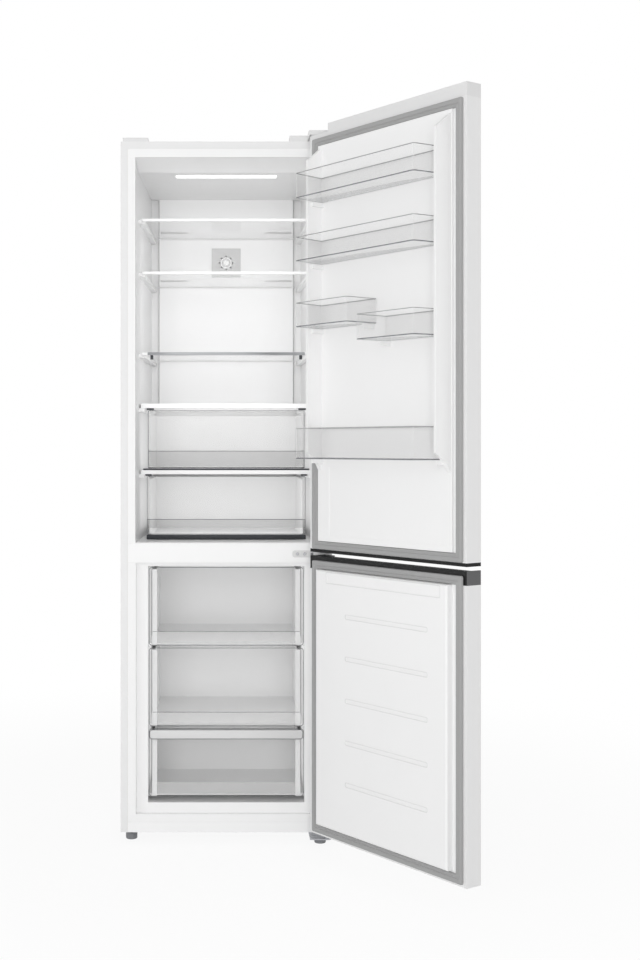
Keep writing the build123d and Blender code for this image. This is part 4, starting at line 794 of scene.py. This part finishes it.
# dark strips under the crisper fronts, and at each side the guides that hold their top corners
# and the clips of the third shelf: body, x, depth, height and corner radius
strips = {
    "upperCrisperStrip": ("upper_crisper", (-241.0, 241.0), (113.0, 118.6), (1049.6, 1054.0), 1.5),
    # painted shadow: a dark strip where the gap under the lower crisper lies in shade
    "lowerCrisperShadowStrip": ("lower_crisper", (-231.0, 231.0), (116.0, 118.6), (848.6, 862.4), 1.5),
}
pairs = {
    "coverGuide": ("cabinet", (209.5, 231.0), (113.0, 124.0), (1223.9, 1229.1), 1.5),
    "dividerGuide": ("cabinet", (216.0, 234.5), (113.0, 124.0), (1032.7, 1037.9), 1.5),
    "shelfClip": ("shelf_3", (212.0, 220.0), (113.5, 123.0), (1370.5, 1383.0), 1.5),
}


def bothSides(kind, body, x, *facts):
    for name, reach in ((kind + "Left", (-x[1], -x[0])), (kind + "Right", x)):
        addPiece(name, slabMesh(name, reach, *facts), body, [darkPlasticAndShadeStrips])


for name, (body, *facts) in strips.items():
    addPiece(name, slabMesh(name, *facts), body, [darkPlasticAndShadeStrips])
for kind, facts in pairs.items():
    bothSides(kind, *facts)

# upright slats in the air duct's outlet slots
slats = {"first": 126.0, "pitch": 6.3, "width": 3.4, "deep": 1.6, "face": 208.6, "lift": 21.0,
         "high": 6.4, "count": 13}
slatRows = []
for shelf in ("1", "2", "3"):
    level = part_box("shelf_trim_" + shelf)[1].z * 1000 + slats["lift"]
    for side in (-1, 1):
        slatRows.append(rowMesh(
            "slats", metres(side * slats["first"], slats["face"] + slats["deep"] / 2, level),
            metres(side * slats["pitch"], 0, 0),
            metres(slats["width"], slats["deep"], slats["high"]), slats["count"], liner,
        ))
addPiece("ductSlats", joined("ductSlats", slatRows), "cabinet", [liner])

# seams between the duct's panel and the back wall: body, x, depth, height, corner and edge
# the strips are painted shade of the gaps, in dark plastic
ductSeamShade = ("cabinet", (213.3, 214.5), (506.2, 507.4), (1238.0, 1903.0), 0.4, 0.2)
bothSides("ductSeamShade", *ductSeamShade)

steelStrip = {"x": (-228.0, 228.0), "depth": (111.2, 112.4), "z": (1382.4, 1391.3),
              "corner": 1.0, "edge": 0.3}
addPiece("shelfThreeSteelStrip", slabMesh("shelfThreeSteelStrip", **steelStrip), "shelf_3",
         [trimSteel])


# freezer drawer fronts: fine dark lines for the edges of the clear plates and the grip, and for
# the top of the low wall behind a plate; each drawer gives its body, low, high and wall top
# these lines are painted shade seen at the plates' edges, round the grip and over the low wall
drawerFronts = {
    "half": 219.5, "depth": 24.0, "corner": 8.0, "line": 0.9, "inset": 1.4,
    "wall": {"half": 208, "depth": 26.2, "line": 0.7},
    "grip": {"half": 216.5, "depth": 16.8, "z": (291.0, 317.0), "line": 0.8},
    "drawers": {
        "top": ("top_drawer", 553.5, 777.0, 593.5),
        "middle": ("middle_drawer", 325.0, 548.5, 365.0),
        "bottom": ("bottom_drawer", 126.0, 320.0, None),
    },
}

for kind, (body, low, high, wallTop) in drawerFronts["drawers"].items():
    inset, corner = drawerFronts["inset"], drawerFronts["corner"]
    outline = frontOutline(drawerFronts["half"] - inset, drawerFronts["depth"], low + inset,
                           high - inset)
    lines = [edgeLine("edge", outline, drawerFronts["line"], paintedEdgeShade, True, corner)]
    if wallTop:
        wall = drawerFronts["wall"]
        along = [inside(x, wall["depth"], wallTop) for x in (-wall["half"], wall["half"])]
        lines.append(tubeMesh("wall", along, wall["line"], 1, paintedEdgeShade))
    else:
        grip = drawerFronts["grip"]
        outline = frontOutline(grip["half"], grip["depth"], *grip["z"])
        lines.append(edgeLine("grip", outline, grip["line"], paintedEdgeShade, True, corner))
    name = kind + "DrawerEdges"
    addPiece(name, joined(name, lines), body, [paintedEdgeShade])
gripSkin = {"x": (-216.0, 216.0), "depth": (16.2, 21.8), "z": (291.6, 316.4), "corner": 7.0,
            "edge": 1.0}
addPiece("bottomDrawerGrip", slabMesh("bottomDrawerGrip", **gripSkin), "bottom_drawer", [capAbs])
print("drawer fronts made")


# ring and knob of the air vent, with the grey cover showing between them
dial = {"centre": (0.0, 205.8, 1703.0), "ring": (14.6, 18.0), "knob": 9.0, "rise": 3.4,
        "sunk": -0.3, "ringRise": (1.2, 2.0), "bevel": 0.8, "dish": (3.0, 0.6),
        "grip": {"half": 1.6, "out": (5.4, 2.2), "span": (-8.0, 13.0), "corner": 1.4}}


def ventDial():
    centre, out = metres(*dial["centre"]), Vector((0, -1, 0))
    (inner, outer), knob, rise, sunk = dial["ring"], dial["knob"], dial["rise"], dial["sunk"]
    (shoulder, crown), bevel, (dishIn, dishDown) = dial["ringRise"], dial["bevel"], dial["dish"]
    ring = [(inner, sunk), (outer, sunk), (outer, shoulder), (outer - bevel, crown),
            (inner + bevel, crown), (inner, shoulder)]
    boss = [(0.01, sunk), (knob, sunk), (knob, rise - 1.0), (knob - 1.0, rise),
            (knob - dishIn, rise - dishDown), (0.01, rise - dishDown)]
    parts = []
    for section in (ring, boss):
        points, faces = turned(section, 40, centre, out)
        parts.append(meshFrom("dial", points, faces))
    grip, depth = dial["grip"], dial["centre"][1] - cabinet["front"]
    parts.append(slabMesh(
        "grip", (-grip["half"], grip["half"]), [depth - reach for reach in grip["out"]],
        [dial["centre"][2] + reach for reach in grip["span"]], grip["corner"],
    ))
    return joined("ventDial", parts)


addPiece("ventDial", ventDial(), "cabinet", [whiteAbs])


# rims round the window and ribs pressed into the freezer door's liner
# the rims are a little darker than the liner: painted shade along the pressed edges
presses = {"n": -19.7, "radius": 1.0, "corner": 5.0, "ribs": 5, "pitch": 111.5,
           "rib": (170.0, 480.0, 659.0, 671.0), "window": (91.0, 524.0, 748.0, 778.0)}
rims = []
for index in range(presses["ribs"] + 1):  # the window, then each rib downwards
    drop = max(index - 1, 0) * presses["pitch"]
    left, right, low, high = presses["rib"] if index else presses["window"]
    corners = [(left, low - drop), (right, low - drop), (right, high - drop), (left, high - drop)]
    outline = roundedLoop(corners, [presses["corner"]] * 4)
    rims.append(edgeLine("rim", [onDoor(s, presses["n"], z) for s, z in outline],
                         presses["radius"], creaseShade))
addPiece("freezerLinerRims", joined("freezerLinerRims", rims), "freezer_door", [creaseShade])


# middle hinge: pressed dishes round the screws, and cross-recess heads on every hinge
hinge = {
    "screwX": (200.0, 220.6, 241.2), "z": 815.75, "face": -3.5,
    "dish": [(4.0, -0.5), (8.2, -0.5), (8.2, 0.2), (7.2, 0.9), (5.4, 0.9), (4.6, 0.3)],
    "rib": {"x": (254.0, 286.0), "depth": (-4.4, -3.0), "z": (809.0, 816.0), "corner": 3.4,
            "edge": 0.7},
}
pressing = []
for x in hinge["screwX"]:
    centre = inside(x, hinge["face"], hinge["z"])
    points, faces = turned(hinge["dish"], 32, centre, Vector((0, -1, 0)))
    pressing.append(meshFrom("dish", points, faces))
pressing.append(slabMesh("rib", **hinge["rib"]))
addPiece("middleHingePressing", joined("middleHingePressing", pressing), "cabinet", [hingePaint])

screwHeads = {"radius": 4.5, "height": 1.6, "topX": (255.2, 279.2), "topDepths": (20.7, 41.3),
              "top": 1980.0, "lowX": (253.0, 265.0), "lowDepth": 55.0}
places = [(inside(x, hinge["face"], hinge["z"]), (0, -1, 0)) for x in hinge["screwX"]]
for depth in screwHeads["topDepths"]:
    places += [(inside(x, depth, screwHeads["top"]), (0, 0, 1)) for x in screwHeads["topX"]]
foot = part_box("hinge_screws")[0].z * 1000 + screwHeads["height"]
places += [(inside(x, screwHeads["lowDepth"], foot), (0, 0, -1)) for x in screwHeads["lowX"]]
mesh = screwMesh("hingeScrewHeads", places, screwHeads["radius"], screwHeads["height"])
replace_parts(addPiece("hingeScrewHeads", mesh, "cabinet", None), "hinge_screws")

backScrews = {"x": 276.0, "y": 296.45, "low": 300, "pitch": 260, "rows": 7, "radius": 4.0,
              "height": 0.8}
places = []
for row in range(backScrews["rows"]):
    z = backScrews["low"] + row * backScrews["pitch"]
    places += [(metres(side * backScrews["x"], backScrews["y"], z), (0, 1, 0)) for side in (-1, 1)]
mesh = screwMesh("backPanelScrews", places, backScrews["radius"], backScrews["height"])
addPiece("backPanelScrews", mesh, "cabinet", None)
print("hinge details and screws made")


# wire-and-tube condenser in the compressor bay, with the pipes that run to the compressor
coil = {"left": -262, "right": -20, "rows": 6, "pitch": 28, "low": 57.5, "y": 257.5, "tube": 2.5,
        "sides": 12, "bend": 12.6, "endGap": 2, "wire": 1.4, "wires": 33, "wireSeat": 2.6,
        "stand": (10.0, 5)}


def condenserCoil():
    points = []
    for row in range(coil["rows"]):
        ends = [coil["left"] + coil["endGap"], coil["right"] - coil["endGap"]]
        if row % 2:
            ends.reverse()
        z = coil["low"] + row * coil["pitch"]
        points += [metres(ends[0], coil["y"], z), metres(ends[1], coil["y"], z)]
    parts = [tubeMesh("condenserTube", points, coil["tube"], coil["bend"], blackPaint, False,
                      coil["sides"])]
    width = coil["right"] - coil["left"] - 2 * coil["pitch"]
    high = coil["low"] + (coil["rows"] - 1) * coil["pitch"] + coil["stand"][1]
    low = coil["low"] - coil["stand"][0]
    for side in (-1, 1):
        start = metres(coil["left"] + coil["pitch"], coil["y"] + side * coil["wireSeat"],
                       (low + high) / 2)
        step, size = width / (coil["wires"] - 1), metres(coil["wire"], coil["wire"], high - low)
        parts.append(rowMesh("wires", start, metres(step, 0, 0), size, coil["wires"], blackPaint))
    return joined("condenserCoil", parts)


mesh = condenserCoil()
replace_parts(addPiece("condenserCoil", mesh, "cabinet", [blackPaint]), "condenser")

pipes = {  # route, radius and bend radius
    "dischargePipe": ([(56, 215, 96), (20, 215, 96), (20, 257.5, 96), (20, 257.5, 57.5),
                       (-24, 257.5, 57.5)], 2.5, 10),
    "suctionPipe": ([(60, 205, 120), (36, 205, 120), (36, 205, 236), (120, 205, 236)], 3.5, 14),
}
for name, (route, radius, bend) in pipes.items():
    points = [metres(*point) for point in route]
    mesh = tubeMesh(name, points, radius, bend, blackPaint, False, coil["sides"])
    addPiece(name, mesh, "cabinet", [blackPaint])
print("condenser and pipes made")


# moulded ribs round the knob of each levelling foot
feet = {
    "radius": 15.6, "rib": (1.4, 2.2, 12.0), "count": 18,
    "places": {"frontFootRibsLeft": ("left_foot", (-270, -241.5, 9.5)),
               "frontFootRibsRight": ("right_foot", (265, -283.5, 8.5))},
}
for name, (body, centre) in feet["places"].items():
    inputs = {"Centre": metres(*centre), "Radius": feet["radius"] / 1000,
              "Size": metres(*feet["rib"]), "Count": feet["count"], "Material": footNylon}
    mesh = runTree(name, ribs, inputs, bpy.data.meshes.new(name + "Source"))
    addPiece(name, mesh, body, None)


# pale studio floor: white to the camera, glass and metal, with the object's shadow kept near it
stage = {"reach": 30.0, "near": 0.5, "far": 2.4, "shadowShare": 0.1}


def seenRays(tree):  # one for what the camera sees directly, mirrored or through glass
    path = addNode(tree, "ShaderNodeLightPath")
    seen = path.outputs["Is Camera Ray"]
    for label in ("Is Glossy Ray", "Is Transmission Ray"):
        both = {0: seen, 1: path.outputs[label]}
        seen = addNode(tree, "ShaderNodeMath", None, both, operation="MAXIMUM").outputs[0]
    return seen


def stageSurface(tree):
    place = addNode(tree, "ShaderNodeTexCoord")
    away = addNode(
        tree, "ShaderNodeVectorMath", None, {0: place.outputs["Object"]}, operation="LENGTH"
    )
    white = addNode(
        tree, "ShaderNodeMapRange",
        {"From Min": stage["near"], "From Max": stage["far"], "To Min": 1 - stage["shadowShare"],
         "To Max": 1.0},
        {"Value": away.outputs["Value"]}, interpolation_type="SMOOTHSTEP",
    )
    share = addNode(
        tree, "ShaderNodeMath", None, {0: seenRays(tree), 1: white.outputs["Result"]},
        operation="MULTIPLY",
    )
    matt = addNode(tree, "ShaderNodeBsdfDiffuse", {"Color": hexColour("#F7F7F7")})
    glow = addNode(tree, "ShaderNodeEmission", {"Color": (1, 1, 1, 1), "Strength": 1.0})
    return addNode(
        tree, "ShaderNodeMixShader", None,
        {0: share.outputs[0], 1: matt.outputs[0], 2: glow.outputs[0]},
    )


reach = stage["reach"]
floorMesh = bpy.data.meshes.new("studioFloor")
floorMesh.from_pydata(
    [(-reach, -reach, 0), (reach, -reach, 0), (reach, reach, 0), (-reach, reach, 0)], [],
    [(0, 1, 2, 3)],
)
floorMesh.materials.append(finish("paleStudioFloor", stageSurface))
floor = bpy.data.objects.new("studioFloor", floorMesh)
bpy.context.collection.objects.link(floor)

studio = {
    "skyColour": "#FBFBFB", "skyStrength": 0.62,
    "lamps": {  # place, aim, width and height in metres, power in watts, mirrored in gloss or not
        "frontSoftbox": ((-0.2, -5.6, 1.35), (-0.1, 0.0, 1.05), (2.6, 2.6), 85, False),
        "doorSoftbox": ((-3.6, -3.4, 2.1), (0.1, -0.4, 1.0), (2.2, 2.2), 23, True),
        "fridgeLight": ((0.0, -0.1725, 1.52), (0.0, 0.3, 1.52), (0.46, 0.55), 0.38, False),
        "fridgeFill": ((0.0, -0.27, 1.5), (0.0, 0.3, 1.5), (0.46, 0.7), 0.3, False),
        "upperCrisperLight": ((0.0, -0.165, 1.135), (0.0, 0.3, 1.135), (0.42, 0.16), 0.1, False),
        "lowerCrisperLight": ((0.0, -0.165, 0.945), (0.0, 0.3, 0.945), (0.42, 0.15), 0.28, False),
        "freezerLight": ((0.0, -0.262, 0.53), (0.0, 0.3, 0.53), (0.38, 0.46), 0.33, False),
    },
    "gapLamps": {  # one on each side, shining outwards
        "crisperGap": ((0.2325, 0.0, 1.045), (0.3, 0.0, 1.045), (0.34, 0.35), 0.14, False),
        "freezerGap": ((0.2138, -0.181, 0.455), (0.3, -0.181, 0.455), (0.16, 0.62), 0.12, False),
    },
}
for name, (place, target, *facts) in studio["gapLamps"].items():
    for label, side in (("Left", -1), ("Right", 1)):
        ends = [(side * x, y, z) for x, y, z in (place, target)]
        studio["lamps"][name + label] = (*ends, *facts)
world = bpy.data.worlds.new("studioWorld")
bpy.context.scene.world = world
world.use_nodes = True
worldTree = world.node_tree
worldTree.nodes.clear()
soft = addNode(worldTree, "ShaderNodeBackground",
               {"Color": hexColour(studio["skyColour"]), "Strength": studio["skyStrength"]})
white = addNode(worldTree, "ShaderNodeBackground", {"Color": (1, 1, 1, 1), "Strength": 1.0})
mix = addNode(
    worldTree, "ShaderNodeMixShader", None,
    {0: seenRays(worldTree), 1: soft.outputs[0], 2: white.outputs[0]},
)
addNode(worldTree, "ShaderNodeOutputWorld", None, {"Surface": mix.outputs[0]})

for name, (place, target, (wide, high), power, mirrored) in studio["lamps"].items():
    lamp = bpy.data.lights.new(name, "AREA")
    lamp.shape = "RECTANGLE"
    lamp.size = wide
    lamp.size_y = high
    lamp.energy = power
    holder = bpy.data.objects.new(name, lamp)
    bpy.context.collection.objects.link(holder)
    holder.location = place
    holder.rotation_euler = (Vector(target) - Vector(place)).to_track_quat("-Z", "Y").to_euler()
    holder.visible_camera = False
    holder.visible_transmission = False
    holder.visible_glossy = mirrored

view = {"place": (-0.0023, -4.086, 1.1188), "lens": 50.47, "shift": (0.0985, -0.0352),
        "sensor": 36, "clip": 200}
lens = bpy.data.cameras.new("studioCamera")
lens.sensor_width = view["sensor"]
lens.lens = view["lens"]
lens.shift_x, lens.shift_y = view["shift"]
lens.clip_end = view["clip"]
camera = bpy.data.objects.new("studioCamera", lens)
bpy.context.collection.objects.link(camera)
camera.location = view["place"]
camera.rotation_euler = (pi / 2, 0, 0)
bpy.context.scene.camera = camera
bpy.context.scene.view_settings.view_transform = "Standard"
print("stage, lamps and camera set")
